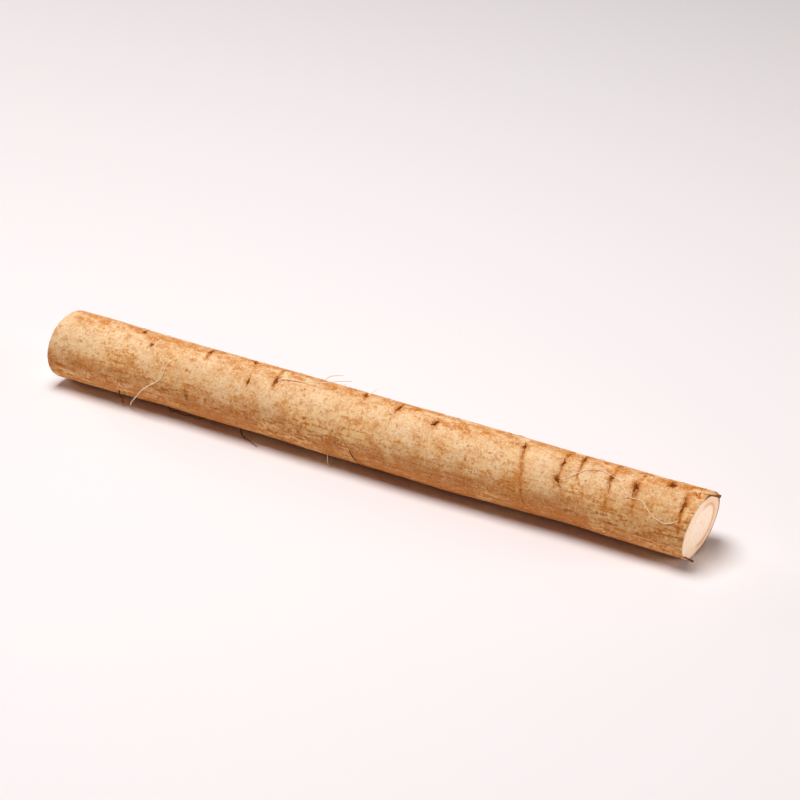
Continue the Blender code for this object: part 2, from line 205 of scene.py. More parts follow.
# Threads: a route of (station mm, clock degrees, height over the skin mm) and the radius at each end.
Thread = namedtuple("Thread", "route start_radius tip_radius")
PALE_ROOTLETS = (
    Thread(((58.4, 33.5, -0.6), (57.8, 36, 0.2), (56.7, 46, 0.3), (56.3, 59, 0.3), (55.3, 69.5, 0.3),
            (52.4, 79, 0.3), (49.6, 87, 0.35), (46.6, 97.5, 0.7), (43.4, 113, 1.8), (40.4, 126, 2.9),
            (38.8, 136, 3.9)), 0.00022, 0.00028),
    Thread(((107.8, 18, -0.6), (109.4, 13, 0.4), (112.4, 9.5, 0.6), (117.6, 6, 0.5), (126.2, 4.5, 2.3),
            (132.0, 4.2, 4.1), (136.0, 4, 5.9), (142.5, 3.5, 7.7)), 0.00026, 0.00016),
    Thread(((136.2, 120, -0.8), (136.8, 127, 1.6), (137.0, 134, 3.5), (137.6, 138, 4.8)),
           0.00020, 0.00013),
    Thread(((147.0, -13, -0.6), (147.9, -20, 0.7), (148.5, -28, 1.7), (148.0, -38, 2.6)),
           0.00026, 0.00016),
    Thread(((242.0, 49, -0.4), (244.6, 41.4, 0.20), (248.3, 27.7, 0.22), (250.7, 18.8, 0.22),
            (253.1, 13.4, 0.22), (256.3, 10.9, 0.22), (259.5, 12.8, 0.22), (262.9, 15.6, 0.20),
            (266.0, 20.5, 0.20), (269.1, 30.8, 0.20), (271.3, 38.6, 0.12)), 0.00019, 0.00017),
    Thread(((271.8, 43.5, 0.0), (274.7, 41.6, 0.14), (277.7, 41.5, 0.16), (280.1, 47.1, 0.16),
            (283.3, 56.5, 0.18), (285.9, 61.6, 0.20), (288.3, 63.9, 0.20), (290.6, 64.7, 0.20),
            (293.3, 61.0, 0.16), (295.2, 54.9, -0.2)), 0.00017, 0.00020),
    Thread(((293.4, -10, 0.0), (295.0, -5, 0.25), (297.1, 3, 0.0)), 0.00016, 0.00012),
)
DARK_ROOTLETS = (
    Thread(((33.3, 119, -0.8), (34.2, 121, 1.0), (35.2, 128, 2.5), (35.6, 134, 3.6)), 0.00030, 0.00044),
    Thread(((148.0, 94, -0.4), (148.9, 102, 0.25), (149.7, 109, 0.3), (151.1, 118, 0.5), (152.8, 127, 1.1)),
           0.00026, 0.00014),
    Thread(((52.0, 150, -0.3), (54.8, 151, 0.7), (57.0, 147, 1.5), (59.2, 150, 1.3), (61.7, 148, 1.7),
            (65.4, 151, 1.2), (69.1, 149, 1.3), (72.2, 156, 0.5)), 0.00022, 0.00016),
    Thread(((90.0, 152, -0.5), (92.9, 145.5, 2.7), (97.9, 139.8, 4.1), (102.9, 134.8, 5.8)),
           0.00022, 0.00013),
)
BACK_ROOTLET_COUNT = 5
BACK_ROOTLET_RUN = (9, 16)
BACK_ROOTLET_TURN = (10, 26)
BACK_ROOTLET_RISE = (2.0, 4.5)
BACK_ROOTLET_RADII = (0.00026, 0.00014)
# Form of a rootlet of the back: share of its run, share of its turn, height there in mm, share of its rise.
BACK_ROOTLET_FORM = ((0.0, 0.0, -0.6, 0.0), (0.10, 0.15, 0.5, 0.0), (0.45, 0.70, 0.0, 0.6),
                     (1.0, 1.0, 0.0, 1.0))
THREAD_SIDES = 7
THREAD_SAMPLES = 5
THREAD_KNOBBLE = 0.16
KNOBBLE_STEP = 1.9
KNOBBLE_TONE_STEP = 11
THREAD_TONE_STEP = 0.37

# Forms of the fine threads at the scars: share of the length, height there in mm, and share of the rise.
STRIP_FORM = ((0.0, -0.10, 0.0), (0.30, 0.12, 0.0), (0.65, 0.06, 0.0), (1.0, -0.04, 0.0))
FIBRE_FORM = ((0.0, -0.5, 0.0), (0.25, 0.05, 0.4), (0.65, 0.0, 1.0), (1.0, 0.0, 0.8))
HAIR_FORM = ((0.0, -0.15, 0.0), (0.3, 0.05, 0.5), (0.65, 0.0, 1.0), (1.0, 0.0, 0.4))

# Torn strips of bark that fork from each scar and lie on the skin, in the two legs of the scar.
StripLeg = namedtuple("StripLeg", "heading spread share_of_length")
STRIP_LEGS = (StripLeg(-6, 7, 1.0), StripLeg(38, 12, 0.45))
STRIP_SEED = 17
STRIPS_PER_SCAR = (5, 8)
STRIP_RADIUS = (0.00018, 0.00032)
STRIP_TIP_RADIUS = 0.00005
STRIP_LENGTH = (2.2, 5.2)
STRIP_CURL = 0.4
STRIP_ASIDE = 0.22
STRIP_UPWARD_SHARE = 0.12

# Fine fibres that stand out of each scar.
FIBRE_SEED = 5
FIBRES_PER_SCAR = (3, 6)
FIBRE_SPREAD = 18
FIBRE_RADIUS = (0.00007, 0.00014)
FIBRE_TIP_RADIUS = 0.00003
FIBRE_LENGTH = (1.4, 4.2)
FIBRE_CURL = 0.5
FIBRE_RISE = (0.10, 0.75)
FIBRE_SIDES = 5
FIBRE_SAMPLES = 3

# Torn stumps in the scars. The profile runs from the sunk foot over the lip into the hollow, as shares
# of how far the stump stands out and of its half width.
STUMP_SIDES = 14
STUMP_WIDTH = 0.0010
STUMP_LENGTH_ALONG = 0.0007
STUMP_STANDS_OUT = 0.00045
STUMP_PROFILE = ((-1.1, 1.15), (-0.2, 1.0), (0.3, 0.90), (0.75, 0.82), (1.0, 0.68), (0.85, 0.50),
                 (0.45, 0.34))
STUMP_ROUGHNESS = 0.00042
STUMP_ROUGHNESS_SIZE = 0.0006
STUMP_LOOSE_ABOVE = -0.3
STUMP_TONE = 0.3
STUMP_TONE_STEP = 0.61

# Slivers of rind left standing at the thinner end's cut.
RindSliver = namedtuple("RindSliver", "base_station base_clock tip_station tip_clock width thickness")
RIND_SLIVERS = (
    RindSliver(0.2955, -17, 0.3040, -14, 0.0085, 0.0018),
    RindSliver(0.2950, 126, 0.3042, 133, 0.0046, 0.0012),
)
RIND_NARROWING = 0.88
RIND_THINNING = 0.50
RIND_EDGE_THINNING = 0.6
RIND_ABOVE_SKIN = 0.00015
RIND_BASE_SUNK = 0.0006
RIND_RAGGEDNESS = 0.0003
RIND_RAGGED_WAVES = (6, 3, 2)
RIND_RAGGED_AT_BASE = 0.3
RIND_FIBRE_HEIGHT = 0.00022
RIND_FIBRE_WAVES = (2.0, 9)
RIND_FIBRE_SEED = 3.0
RIND_CUTS = 11
RIND_DRIED_SIDE = (0.75, 1.05)
RIND_DRIED_TIP = (0.62, 1.0)
# The darkening towards a sliver's underside is painted shade.
RIND_SHADE_UNDER = (0.4, 1.0)

# Browner skin along the row that the scars stand in, partly a stain and partly painted shade along the top.
# SkinNoise gives its mean and strength, its length along the root, its waves per radian and its seed.
SkinNoise = namedtuple("SkinNoise", "mean strength length waves seed")
ROW_CLOCK = math.radians(-15)
ROW_SPREAD = math.radians(20)
ROW_WANDER = math.radians(16)
ROW_WANDER_LENGTH = 0.035
ROW_WANDER_SEED = (2.0, 7.0)
ROW_RAGGED_EDGE = SkinNoise(0.0, math.radians(24), 0.005, 6.0, 2.0)
ROW_PATCHES = SkinNoise(0.95, 2.0, 0.007, 4.0, 7.0)

# Fine hairs of that row. About half of them stand near a scar.
ROW_HAIR_SEED = 31
ROW_HAIR_COUNT = 190
ROW_HAIR_RADIUS = (0.00004, 0.00008)
ROW_HAIR_LENGTH = (1.2, 3.6)
ROW_HAIR_SPREAD = 13
ROW_HAIR_MARGIN = 5
ROW_HAIR_CURL = 1.8
ROW_HAIR_RISE = (0.05, 0.55)
ROW_HAIR_DEGREES_PER_MM = 3.7
NEAR_SCAR_SHARE = 0.5
NEAR_SCAR_STATION_SPREAD = 3.0
NEAR_SCAR_CLOCK_SPREAD = 8
NEAR_SCAR_CLOCK_OFFSET = -6
ROW_SCAR_CLOCK_LIMIT = 50

# Mesh fineness.
SIDES_ROUND = 132
STATION_COUNT = 712
FACE_RINGS = 52
END_DISC_SHARES = (0.0, 0.5, 0.9)

# Relief of the skin.
RIDGE_HEIGHT = 0.000060
RIDGE_LENGTH = 0.016
RIDGE_WIDTH = 0.0013
WRINKLE_HEIGHT = 0.000050
WRINKLE_LENGTH = 0.0012
WRINKLE_WIDTH = 0.0045
WRINKLE_LEAST = 0.35
WRINKLE_PATCH_LENGTH = 0.022
WRINKLE_PATCH_WIDTH = 0.012
WRINKLE_PATCH_RANGE = (-0.05, 0.45)
WRINKLE_PATCH_SEED = 9
PIMPLE_HEIGHT = 0.000045
PIMPLE_SIZE = 0.0017
PIMPLE_SEED = 4

# Cut faces: share of the root's radius where each zone starts, and how far the face stands proud.
RIND_SHARE = 0.978
RING_SHARE = 0.65
FACE_PROUD = 0.00016
FACE_SUNK = 0.0006
RING_GROOVE = 0.00002
RING_GROOVE_REACH = 0.022
RING_OFF_ROUND = 0.02
RING_OFF_ROUND_WAVES = 2
FACE_RAY_RELIEF = 0.00005
FACE_RAY_WAVES = 14
FACE_RAY_STRETCH = 2.2
KNIFE_RELIEF = 0.00004
KNIFE_WAVES = (1.3, 26)
FACE_EDGE_DROP = 0.9
FACE_EDGE_FROM = 0.93
# The dark rim at the back of a cut face is partly the skin's edge and partly painted shadow.
DARK_RIM_RANGE = (-0.45, 0.25)
RIM_ROUNDING = 0.00022

# Stage. Each light has its place, its width, its tint and its share of the power set for its kind.
FLOOR_SIZE = 6.0
CAMERA_TARGET = (0.00148, 0.02519, 0.016)
StageLight = namedtuple("StageLight", "name kind place width tint share")
STAGE_LIGHTS = (
    StageLight("overhead_softbox", "key_power", (-0.16, -0.04, 1.06), 0.6, (1.0, 0.985, 0.965), 1.0),
    StageLight("front_fill", "fill_power", (0.35, -0.95, 0.45), 0.9, (1.0, 0.98, 0.96), 1.0),
    StageLight("end_light", "end_power", (1.05, 0.24, 0.20), 0.4, (1.0, 0.985, 0.965), 1.0),
    StageLight("far_end_light", "end_power", (-1.05, 0.30, 0.24), 0.4, (1.0, 0.985, 0.965), 0.5),
)
ROOM_TINT = (1.0, 0.985, 0.975, 1.0)
SENSOR_WIDTH = 36.0
CAMERA_CLIP = (0.05, 20.0)

# Colouring of the skin. Its wavering height is where the underside's tones start and where they are full,
# and its flecks come in two sizes.
LOW_DOWN_HEIGHTS = (0.0570, 0.0360)
CUT_EDGE_SHARES = (0.99, 0.96)
# The dark line along the cut edges at the back is partly the skin's edge and partly painted shadow.
BACK_EDGE_RANGE = (-0.008, -0.001)
NOISE_MIDDLE = 0.5
Flecks = namedtuple("Flecks", "scale share size strength")
SKIN_FLECKS = (Flecks(400.0, 0.22, 0.38, 0.80), Flecks(820.0, 0.22, 0.44, 0.65))


def colour(name, description, *rgb):
    """A colour property with the colour that it starts from."""
    return FloatVectorProperty(name=name, description=description, subtype="COLOR", size=4,
                               default=(*rgb, 1.0))


class BurdockSizes(bpy.types.PropertyGroup):
    """Lengths of the root, and how much of its fine detail shows"""

    length: FloatProperty(name="Length", description="Length of the root between its cuts",
                          default=0.300, min=0.05, max=1.0, unit="LENGTH", precision=4)
    thick_end_radius: FloatProperty(name="Thick end radius", description="Radius at the upper end",
                                    default=0.01564, min=0.005, max=0.05, unit="LENGTH", precision=5)
    thin_end_radius: FloatProperty(name="Thin end radius", description="Radius at the lower end",
                                   default=0.01492, min=0.005, max=0.05, unit="LENGTH", precision=5)
    relief: FloatProperty(name="Relief", description="Strength of the fine skin relief",
                          default=1.0, min=0.0, max=4.0, subtype="FACTOR")
    fibre_amount: FloatProperty(name="Fibres", description="Share of the scar fibres that are kept",
                                default=1.0, min=0.0, max=1.0, subtype="FACTOR")


class BurdockColours(bpy.types.PropertyGroup):
    """Colours of the root"""

    skin_pale: colour("Pale skin", "Skin where it is rubbed and dry", 0.97, 0.645, 0.360)
    # Its near-white points stand partly for dry skin and partly for painted glints, most of them on top.
    skin_dry_and_glints: colour("Dry skin", "Near-white points of dry, rubbed skin", 1.0, 0.82, 0.60)
    skin_tan: colour("Tan skin", "Main colour of the skin", 0.80, 0.42, 0.155)
    skin_deep: colour("Deep skin", "Skin low down and along the scars", 1.0, 0.600, 0.220)
    skin_stain: colour("Stained skin", "Orange-brown cork over the skin", 0.68, 0.208, 0.018)
    skin_soil: colour("Soiled skin", "Rusty brown patches of the skin", 0.62, 0.195, 0.020)
    fleck: colour("Flecks", "Small orange-brown flecks", 0.52, 0.155, 0.016)
    scar: colour("Scars", "Dark core of the root scars", 0.085, 0.016, 0.002)
    crease: colour("Growth rings", "Creases round the root", 0.30, 0.080, 0.011)
    # The band colour also lays the brown along the row of scars, which is partly painted shade.
    band: colour("Stained bands", "Orange-brown bands along rings and scars", 0.68, 0.240, 0.036)
    flesh: colour("Flesh", "Cream middle of a cut face", 0.98, 0.775, 0.60)
    rind: colour("Rind", "Band of a cut face under the skin", 0.80, 0.46, 0.22)
    rootlet: colour("Rootlets", "Pale fine roots", 1.0, 0.80, 0.56)


class BurdockStage(bpy.types.PropertyGroup):
    """Floor, lights and camera"""

    floor: colour("Floor", "Colour of the plain floor", 0.955, 0.905, 0.93)
    key_power: FloatProperty(name="Key light", description="Power of the large light overhead, in watts",
                             default=11.5, min=0.0, max=500.0)
    fill_power: FloatProperty(name="Fill light", description="Power of the light at the front, in watts",
                              default=0.25, min=0.0, max=500.0)
    end_power: FloatProperty(name="End light", description="Power of the light on the cut end, in watts",
                             default=5.4, min=0.0, max=500.0)
    sky: FloatProperty(name="Room light", description="Strength of the even light of the room",
                       default=0.035, min=0.0, max=5.0)
    camera_azimuth: FloatProperty(name="Camera azimuth", description="Turn of the camera round the root",
                                  default=math.radians(27.245), subtype="ANGLE")
    camera_height: FloatProperty(name="Camera elevation", description="How far the camera looks down",
                                 default=math.radians(33.0), subtype="ANGLE")
    camera_distance: FloatProperty(name="Camera distance", description="Distance from the point looked at",
                                   default=1.07602, min=0.2, unit="LENGTH", precision=4)
    lens: FloatProperty(name="Lens", description="Focal length in millimetres on a 36 mm frame",
                        default=112.5, min=20.0, max=300.0)


def sizes():
    return bpy.context.scene.burdock_sizes


def colours():
    return bpy.context.scene.burdock_colours


def smooth(low, high, value):
    """0 below low, 1 above high, with a soft step between them."""
    t = min(max((value - low) / (high - low), 0.0), 1.0)
    return t * t * (3 - 2 * t)


def bell(off, reach):
    """1 at no distance, and falling softly to 0 a little past the reach."""
    return math.exp(-(off / reach) ** 2)


def ring_noise(kind, clock, number):
    """How a numbered growth ring varies at a clock angle."""
    place = Vector((kind.waves * clock, kind.step * number, kind.seed))
    return kind.mean + kind.strength * noise.noise(place)


def skin_noise(kind, station, clock):
    """How the skin varies from place to place."""
    place = Vector((station / kind.length, kind.waves * clock, kind.seed))
    return kind.mean + kind.strength * noise.noise(place)


def taper_radius(station):
    """Radius of the plain tapering rod that the root follows."""
    size = sizes()
    along = station / size.length
    return size.thick_end_radius + (size.thin_end_radius - size.thick_end_radius) * along


def swelling(station):
    return sum(s.height * bell(station - s.station, s.reach) for s in SWELLINGS)


class Section:
    """All that is the same right round the root at one station."""

    def __init__(self, station):
        swell = swelling(station)
        self.length = sizes().length
        self.station = station
        self.taper = taper_radius(station)
        self.radius = self.taper + swell * (1 - SWELLING_SHARE_OF_BEND)
        self.back = -swell * SWELLING_SHARE_OF_BEND
        self.height = self.taper - RESTING_FLAT_DEPTH
        self.oval_turn = OVAL_START + OVAL_TURN * station / self.length
        self.thick_fade = max(1 - station / CUT_SLANT_REACH, 0.0) ** 2
        self.thin_fade = max(1 - (self.length - station) / CUT_SLANT_REACH, 0.0) ** 2

    def plain_radius(self, clock):
        """Distance from the axis to the skin, without its fine relief."""
        oval = OVAL_HEIGHT * math.cos(2 * clock - self.oval_turn)
        place = Vector((self.station / LUMP_LENGTH, self.taper * math.cos(clock) / LUMP_WIDTH,
                        self.taper * math.sin(clock) / LUMP_WIDTH))
        return self.radius + oval + LUMP_HEIGHT * noise.noise(place)

    def point(self, clock, radius):
        """Point at a distance from the axis, kept above the surface that the root lies on."""
        back = self.back - radius * math.sin(clock)
        height = max(self.height + radius * math.cos(clock), 0.0)
        up = height - self.height
        along = self.station - self.length / 2
        along += self.thick_fade * (THICK_END_CUT.per_back * back + THICK_END_CUT.per_up * up)
        along += self.thin_fade * (THIN_END_CUT.per_back * back + THIN_END_CUT.per_up * up)
        return Vector((along, back, height))


def skin_point(station, clock, lift=0.0):
    section = Section(station)
    return section.point(clock, section.plain_radius(clock) + lift)


def skin_frame(station, clock):
    """Matrix standing on the skin: X round the root, Y along it, Z outward."""
    step = 0.0005
    origin = skin_point(station, clock)
    along = (skin_point(station + step, clock) - skin_point(station - step, clock)).normalized()
    outward = Vector((0.0, -math.sin(clock), math.cos(clock)))
    outward = (outward - along * outward.dot(along)).normalized()
    across = along.cross(outward)
    return Matrix.Translation(origin) @ Matrix((across, along, outward)).transposed().to_4x4()


def back_scars(rng):
    """Scars of the side turned away, at the places they have in the solid."""
    first, last = BACK_SCAR_CLOCKS
    spacing = sizes().length / BACK_SCAR_COUNT
    scars = []
    for index in range(BACK_SCAR_COUNT):
        station = spacing * (index + 0.5 + rng.uniform(-BACK_SCAR_JITTER, BACK_SCAR_JITTER))
        clock = rng.uniform(first, last)
        size = rng.uniform(*BACK_SCAR_SIZE)
        lean = BACK_SCAR_LEAN * math.sin(7 * index)
        tail = BACK_SCAR_TAIL[0] + BACK_SCAR_TAIL[1] * math.sin(5 * index)
        scars.append(Scar(station, clock, size, lean, tail))
    return scars


def back_rootlet(rng, scar):
    """A rootlet that rises from a scar at the back and curls along the root, as in the solid."""
    run = rng.choice((-1, 1)) * rng.uniform(*BACK_ROOTLET_RUN)
    turn = rng.uniform(*BACK_ROOTLET_TURN)
    rise = rng.uniform(*BACK_ROOTLET_RISE)
    station = scar.station / MM
    route = tuple((station + run * far, scar.clock + turn * turned, height + rise * share)
                  for far, turned, height, share in BACK_ROOTLET_FORM)
    return Thread(route, *BACK_ROOTLET_RADII)


def all_growths():
    """Every scar and the rootlets of the back, drawn in the same order as in the solid."""
    rng = random.Random(SOLID_SEED)
    hidden = back_scars(rng)
    bearing = hidden[1::max(BACK_SCAR_COUNT // BACK_ROOTLET_COUNT, 1)][:BACK_ROOTLET_COUNT]
    rootlets = [back_rootlet(rng, scar) for scar in bearing]
    return list(FRONT_SCARS) + hidden, rootlets


def all_spots():
    rng = random.Random(SPOT_SEED)
    spots = list(FRONT_SPOTS)
    for _ in range(BACK_SPOT_COUNT):
        spots.append(Spot(rng.uniform(SPOT_MARGIN, sizes().length - SPOT_MARGIN),
                          rng.uniform(*BACK_SPOT_CLOCKS), rng.uniform(*BACK_SPOT_RADIUS)))
    return spots


class Relief:
    """Fine relief and colour masks of the skin at one station."""

    def __init__(self, section, scars, spots):
        self.section = section
        self.strength = sizes().relief
        station = section.station
        self.scars = [s for s in scars if abs(s.station - station) < SCAR_LOOK_REACH]
        self.spots = [s for s in spots if abs(s.station - station) < SPOT_LOOK_REACH * s.radius]
        self.creases = [(number, c) for number, c in enumerate(CREASES)
                        if abs(c.station - station) < CREASE_LOOK_REACH]

    def around(self, clock, other_degrees):
        """Length of skin from a clock angle to another, with its sign."""
        return math.remainder(clock - math.radians(other_degrees), 2 * math.pi) * self.section.taper

    def crease(self, clock):
        """Height and mask of the growth rings."""
        height = 0.0
        mask = 0.0
        for number, crease in self.creases:
            middle = math.radians(0.5 * (crease.first_clock + crease.last_clock))
            half = math.radians(0.5 * (crease.last_clock - crease.first_clock))
            turn = math.remainder(clock - middle, 2 * math.pi)
            fade = min(max((half + CREASE_FADE - abs(turn)) / CREASE_FADE, 0.0), 1.0)
            if fade == 0.0:
                continue
            off = self.section.station - crease.station - crease.drift * turn
            off -= ring_noise(RING_WANDER, clock, number)
            uneven = ring_noise(RING_STRENGTH, clock, number)
            broken = min(max(ring_noise(RING_BREAKS, clock, number), 0.0), 1.0)
            band_reach = CREASE_BAND_REACH * ring_noise(RING_BAND_WIDTH, clock, number)
            groove = bell(off, CREASE_REACH)
            lip = bell(off - CREASE_LIP_OFFSET, CREASE_LIP_REACH)
            shown = fade * fade * uneven * (CREASE_LEAST_DEPTH + (1 - CREASE_LEAST_DEPTH) * broken)
            height += crease.depth * shown * (CREASE_LIP_SHARE * lip - groove)
            core = broken * bell(off, CREASE_CORE_REACH)
            band = CREASE_BAND_SHARE * uneven * bell(off, band_reach)
            mask = max(mask, fade * max(core, band))
        return height, mask

    def scar(self, clock):
        """Height of the scars, with the masks of their dark cores and of their stained streaks."""
        height = 0.0
        core = 0.0
        streak = 0.0
        for scar in self.scars:
            size = scar.size
            along = (self.section.station - scar.station) / MM
            across = self.around(clock, scar.clock) / MM
            if abs(across) > SCAR_FARTHEST_ROUND:
                continue
            warp = noise.noise_vector(Vector((SCAR_WARP_WAVES * along, SCAR_WARP_WAVES * across,
                                              SCAR_WARP_STEP * scar.clock)))
            lean = math.radians(scar.lean)
            u = along * math.cos(lean) - across * math.sin(lean) + SCAR_WARP_ALONG * warp.x
            w = across * math.cos(lean) + along * math.sin(lean) + SCAR_WARP_ROUND * warp.y
            r = math.hypot(u, w / SCAR_OVAL) / size
            height += SCAR_LIP_HEIGHT * size * bell(r - SCAR_LIP_PLACE, SCAR_LIP_REACH)
            height -= SCAR_PIT_DEPTH * size * bell(r, SCAR_PIT_REACH)
            core = max(core, bell(r, SCAR_CORE_REACH))
            streak = max(streak, SCAR_HALO_SHARE * bell(r, SCAR_HALO_REACH))
            if w <= 0:
                continue
            reach = max(scar.tail, SHORTEST_TAIL * size)
            shown = 1 - smooth(TAIL_FADES_FROM * reach, reach, w)
            long_leg = shown * bell(u - LONG_LEG_SLANT * w, LONG_LEG_WIDTH)
            short_leg = bell(u - SHORT_LEG_SLANT * w, SHORT_LEG_WIDTH)
            short_leg *= 1 - smooth(SHORT_LEG_FADE[0] * size, SHORT_LEG_FADE[1] * size, w)
            legs = max(long_leg, short_leg)
            tail = shown * bell(u, TAIL_WIDTH * size + TAIL_LEAST_WIDTH)
            dark = 1 - smooth(LEG_DARK_FADE[0], LEG_DARK_FADE[1] + LEG_DARK_LENGTH * size, w)
            height -= LEG_DEPTH * legs
            streak = max(streak, LEG_SHARE * legs, TAIL_SHARE * tail)
            core = max(core, LEG_SHARE * legs * dark)
        return height, core, streak

    def spot(self, clock):
        """Mask of the small brown spots, drawn out lengthwise low down."""
        mask = 0.0
        for spot in self.spots:
            along = self.section.station - spot.station
            across = self.around(clock, spot.clock)
            if LOW_SPOT_CLOCKS[0] < spot.clock < LOW_SPOT_CLOCKS[1]:
                along /= LOW_SPOT_STRETCH
            r = math.hypot(along, across) / spot.radius
            mask = max(mask, math.exp(-r ** 3))
        return mask

    def grain(self, clock):
        """Lengthwise ridges, crosswise wrinkles that come and go, and low pimples."""
        x = self.section.station
        y = self.section.taper * math.cos(clock)
        z = self.section.taper * math.sin(clock)
        ridges = noise.noise(Vector((x / RIDGE_LENGTH, y / RIDGE_WIDTH, z / RIDGE_WIDTH)))
        patch = smooth(*WRINKLE_PATCH_RANGE, noise.noise(Vector((
            x / WRINKLE_PATCH_LENGTH, y / WRINKLE_PATCH_WIDTH + WRINKLE_PATCH_SEED,
            z / WRINKLE_PATCH_WIDTH))))
        wrinkles = noise.noise(Vector((x / WRINKLE_LENGTH, y / WRINKLE_WIDTH, z / WRINKLE_WIDTH)))
        pimples = noise.noise(Vector((x / PIMPLE_SIZE, y / PIMPLE_SIZE, z / PIMPLE_SIZE + PIMPLE_SEED)))
        return self.strength * (RIDGE_HEIGHT * ridges + WRINKLE_HEIGHT * (WRINKLE_LEAST + patch) * wrinkles
                                + PIMPLE_HEIGHT * pimples)

    def row(self, clock):
        """How much a place belongs to the browner row that the scars stand in, partly a stain and partly
        painted shade.
        """
        station = self.section.station
        wander = noise.noise(Vector((station / ROW_WANDER_LENGTH, *ROW_WANDER_SEED)))
        middle = ROW_CLOCK + ROW_WANDER * wander + skin_noise(ROW_RAGGED_EDGE, station, clock)
        off = math.remainder(clock - middle, 2 * math.pi)
        return max(skin_noise(ROW_PATCHES, station, clock), 0.0) * bell(off, ROW_SPREAD)

    def at(self, clock):
        """Height over the plain skin, then the scar, ring, spot and row masks."""
        crease_height, crease_mask = self.crease(clock)
        scar_height, core, streak = self.scar(clock)
        height = self.grain(clock) + crease_height + scar_height
        return height, core, max(crease_mask, streak), self.spot(clock), self.row(clock)


def spin_profile(points, sides):
    """Spins (station, share) points round the X axis as a unit rod; each vertex keeps its step's number."""
    bm = bmesh.new()
    step_layer = bm.verts.layers.int.new("profile_step")
    line = []
    for step, (station, share) in enumerate(points):
        vert = bm.verts.new((station, 0.0, share))
        vert[step_layer] = step
        line.append(vert)
    edges = [bm.edges.new(pair) for pair in zip(line, line[1:])]
    bmesh.ops.spin(bm, geom=line + edges, cent=(0, 0, 0), axis=(1, 0, 0), dvec=(0, 0, 0),
                   angle=2 * math.pi, steps=sides, use_merge=True, use_duplicate=False)
    bmesh.ops.remove_doubles(bm, verts=bm.verts, dist=1e-6)
    return bm, step_layer


def finish_piece(name, bm, material):
    """Makes a mesh object of a bmesh, shaded smooth, riding on the root's body."""
    bmesh.ops.recalc_face_normals(bm, faces=bm.faces)
    for face in bm.faces:
        face.smooth = True
    mesh = bpy.data.meshes.new(name)
    bm.to_mesh(mesh)
    bm.free()
    mesh.materials.append(material)
    piece = bpy.data.objects.new(name, mesh)
    bpy.context.scene.collection.objects.link(piece)
    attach(piece, BODY)
    return piece


def make_body():
    """The skin: a spun rod of the root's length, every point then set by the root's form and relief."""
    length = sizes().length
    scars, _ = all_growths()
    spots = all_spots()
    stations = [RIM_ROUNDING + (length - 2 * RIM_ROUNDING) * i / STATION_COUNT
                for i in range(STATION_COUNT + 1)]
    end_shares = (*END_DISC_SHARES, 1 - RIM_ROUNDING / sizes().thin_end_radius)
    profile = [(0.0, share) for share in end_shares]
    profile += [(station, 1.0) for station in stations]
    profile += [(length, share) for share in reversed(end_shares)]
    bm, step_layer = spin_profile(profile, SIDES_ROUND)
    # The row mask carries painted shade along the top as well as the stain of the row of scars.
    masks = [bm.verts.layers.float.new(name) for name in ("scar", "crease", "spot", "row", "skin")]
    sections = [Section(station) for station, _ in profile]
    reliefs = [Relief(section, scars, spots) for section in sections]
    for vert in bm.verts:
        step = vert[step_layer]
        share = profile[step][1]
        clock = math.atan2(-vert.co.y, vert.co.z)
        height, *values = reliefs[step].at(clock)
        radius = (sections[step].plain_radius(clock) + height) * share
        vert.co = sections[step].point(clock, radius)
        for layer, value in zip(masks, values + [share]):
            vert[layer] = value
    return bm


def make_cut_face(station, outward):
    """A cut face: a shallow lens of flesh set into the root's end, with its ring groove and fibres."""
    section = Section(station)
    shares = [RIND_SHARE * i / FACE_RINGS for i in range(FACE_RINGS + 1)]
    profile = [(FACE_PROUD, share) for share in shares]
    profile += [(-FACE_SUNK, RIND_SHARE), (-FACE_SUNK, 0.0)]
    bm, step_layer = spin_profile(profile, SIDES_ROUND)
    ring_layer = bm.verts.layers.float.new("ring")
    rim_layer = bm.verts.layers.float.new("rim")
    for vert in bm.verts:
        offset, share = profile[vert[step_layer]]
        clock = math.atan2(-vert.co.y, vert.co.z)
        y = share * math.sin(clock)
        z = share * math.cos(clock)
        vert.co = section.point(clock, section.plain_radius(clock) * share)
        if offset > 0:
            rays = noise.noise(Vector((FACE_RAY_WAVES * math.sin(clock), FACE_RAY_WAVES * math.cos(clock),
                                       FACE_RAY_STRETCH * share)))
            knife = noise.noise(Vector((KNIFE_WAVES[0] * (y + z), KNIFE_WAVES[1] * (z - y), outward)))
            off_round = RING_OFF_ROUND * noise.noise(Vector((
                RING_OFF_ROUND_WAVES * math.sin(clock), RING_OFF_ROUND_WAVES * math.cos(clock), outward)))
            groove = bell(share - RING_SHARE - off_round, RING_GROOVE_REACH)
            offset += FACE_RAY_RELIEF * rays * share + KNIFE_RELIEF * knife - RING_GROOVE * groove
            offset -= FACE_PROUD * FACE_EDGE_DROP * smooth(FACE_EDGE_FROM * RIND_SHARE, RIND_SHARE, share)
        vert.co.x += outward * offset
        vert[ring_layer] = share
        # The rim mask is full at the back; it places the dark rim there, partly painted shadow, and more of
        # the rind and ring.
        vert[rim_layer] = smooth(*DARK_RIM_RANGE, -math.sin(clock))
    return bm


def smooth_route(route, samples):
    """Catmull-Rom points through a route, then placed round the root."""
    places = [Vector(place) for place in route]
    padded = [places[0]] + places + [places[-1]]
    through = []
    for before, start, end, after in zip(padded, padded[1:], padded[2:], padded[3:]):
        for sample in range(samples):
            t = sample / samples
            curve = 2 * start + (end - before) * t
            curve += (2 * before - 5 * start + 4 * end - after) * t ** 2
            curve += (3 * start - before - 3 * end + after) * t ** 3
            through.append(curve / 2)
    through.append(places[-1])
    return [skin_point(place.x * MM, math.radians(place.y), place.z * MM) for place in through]


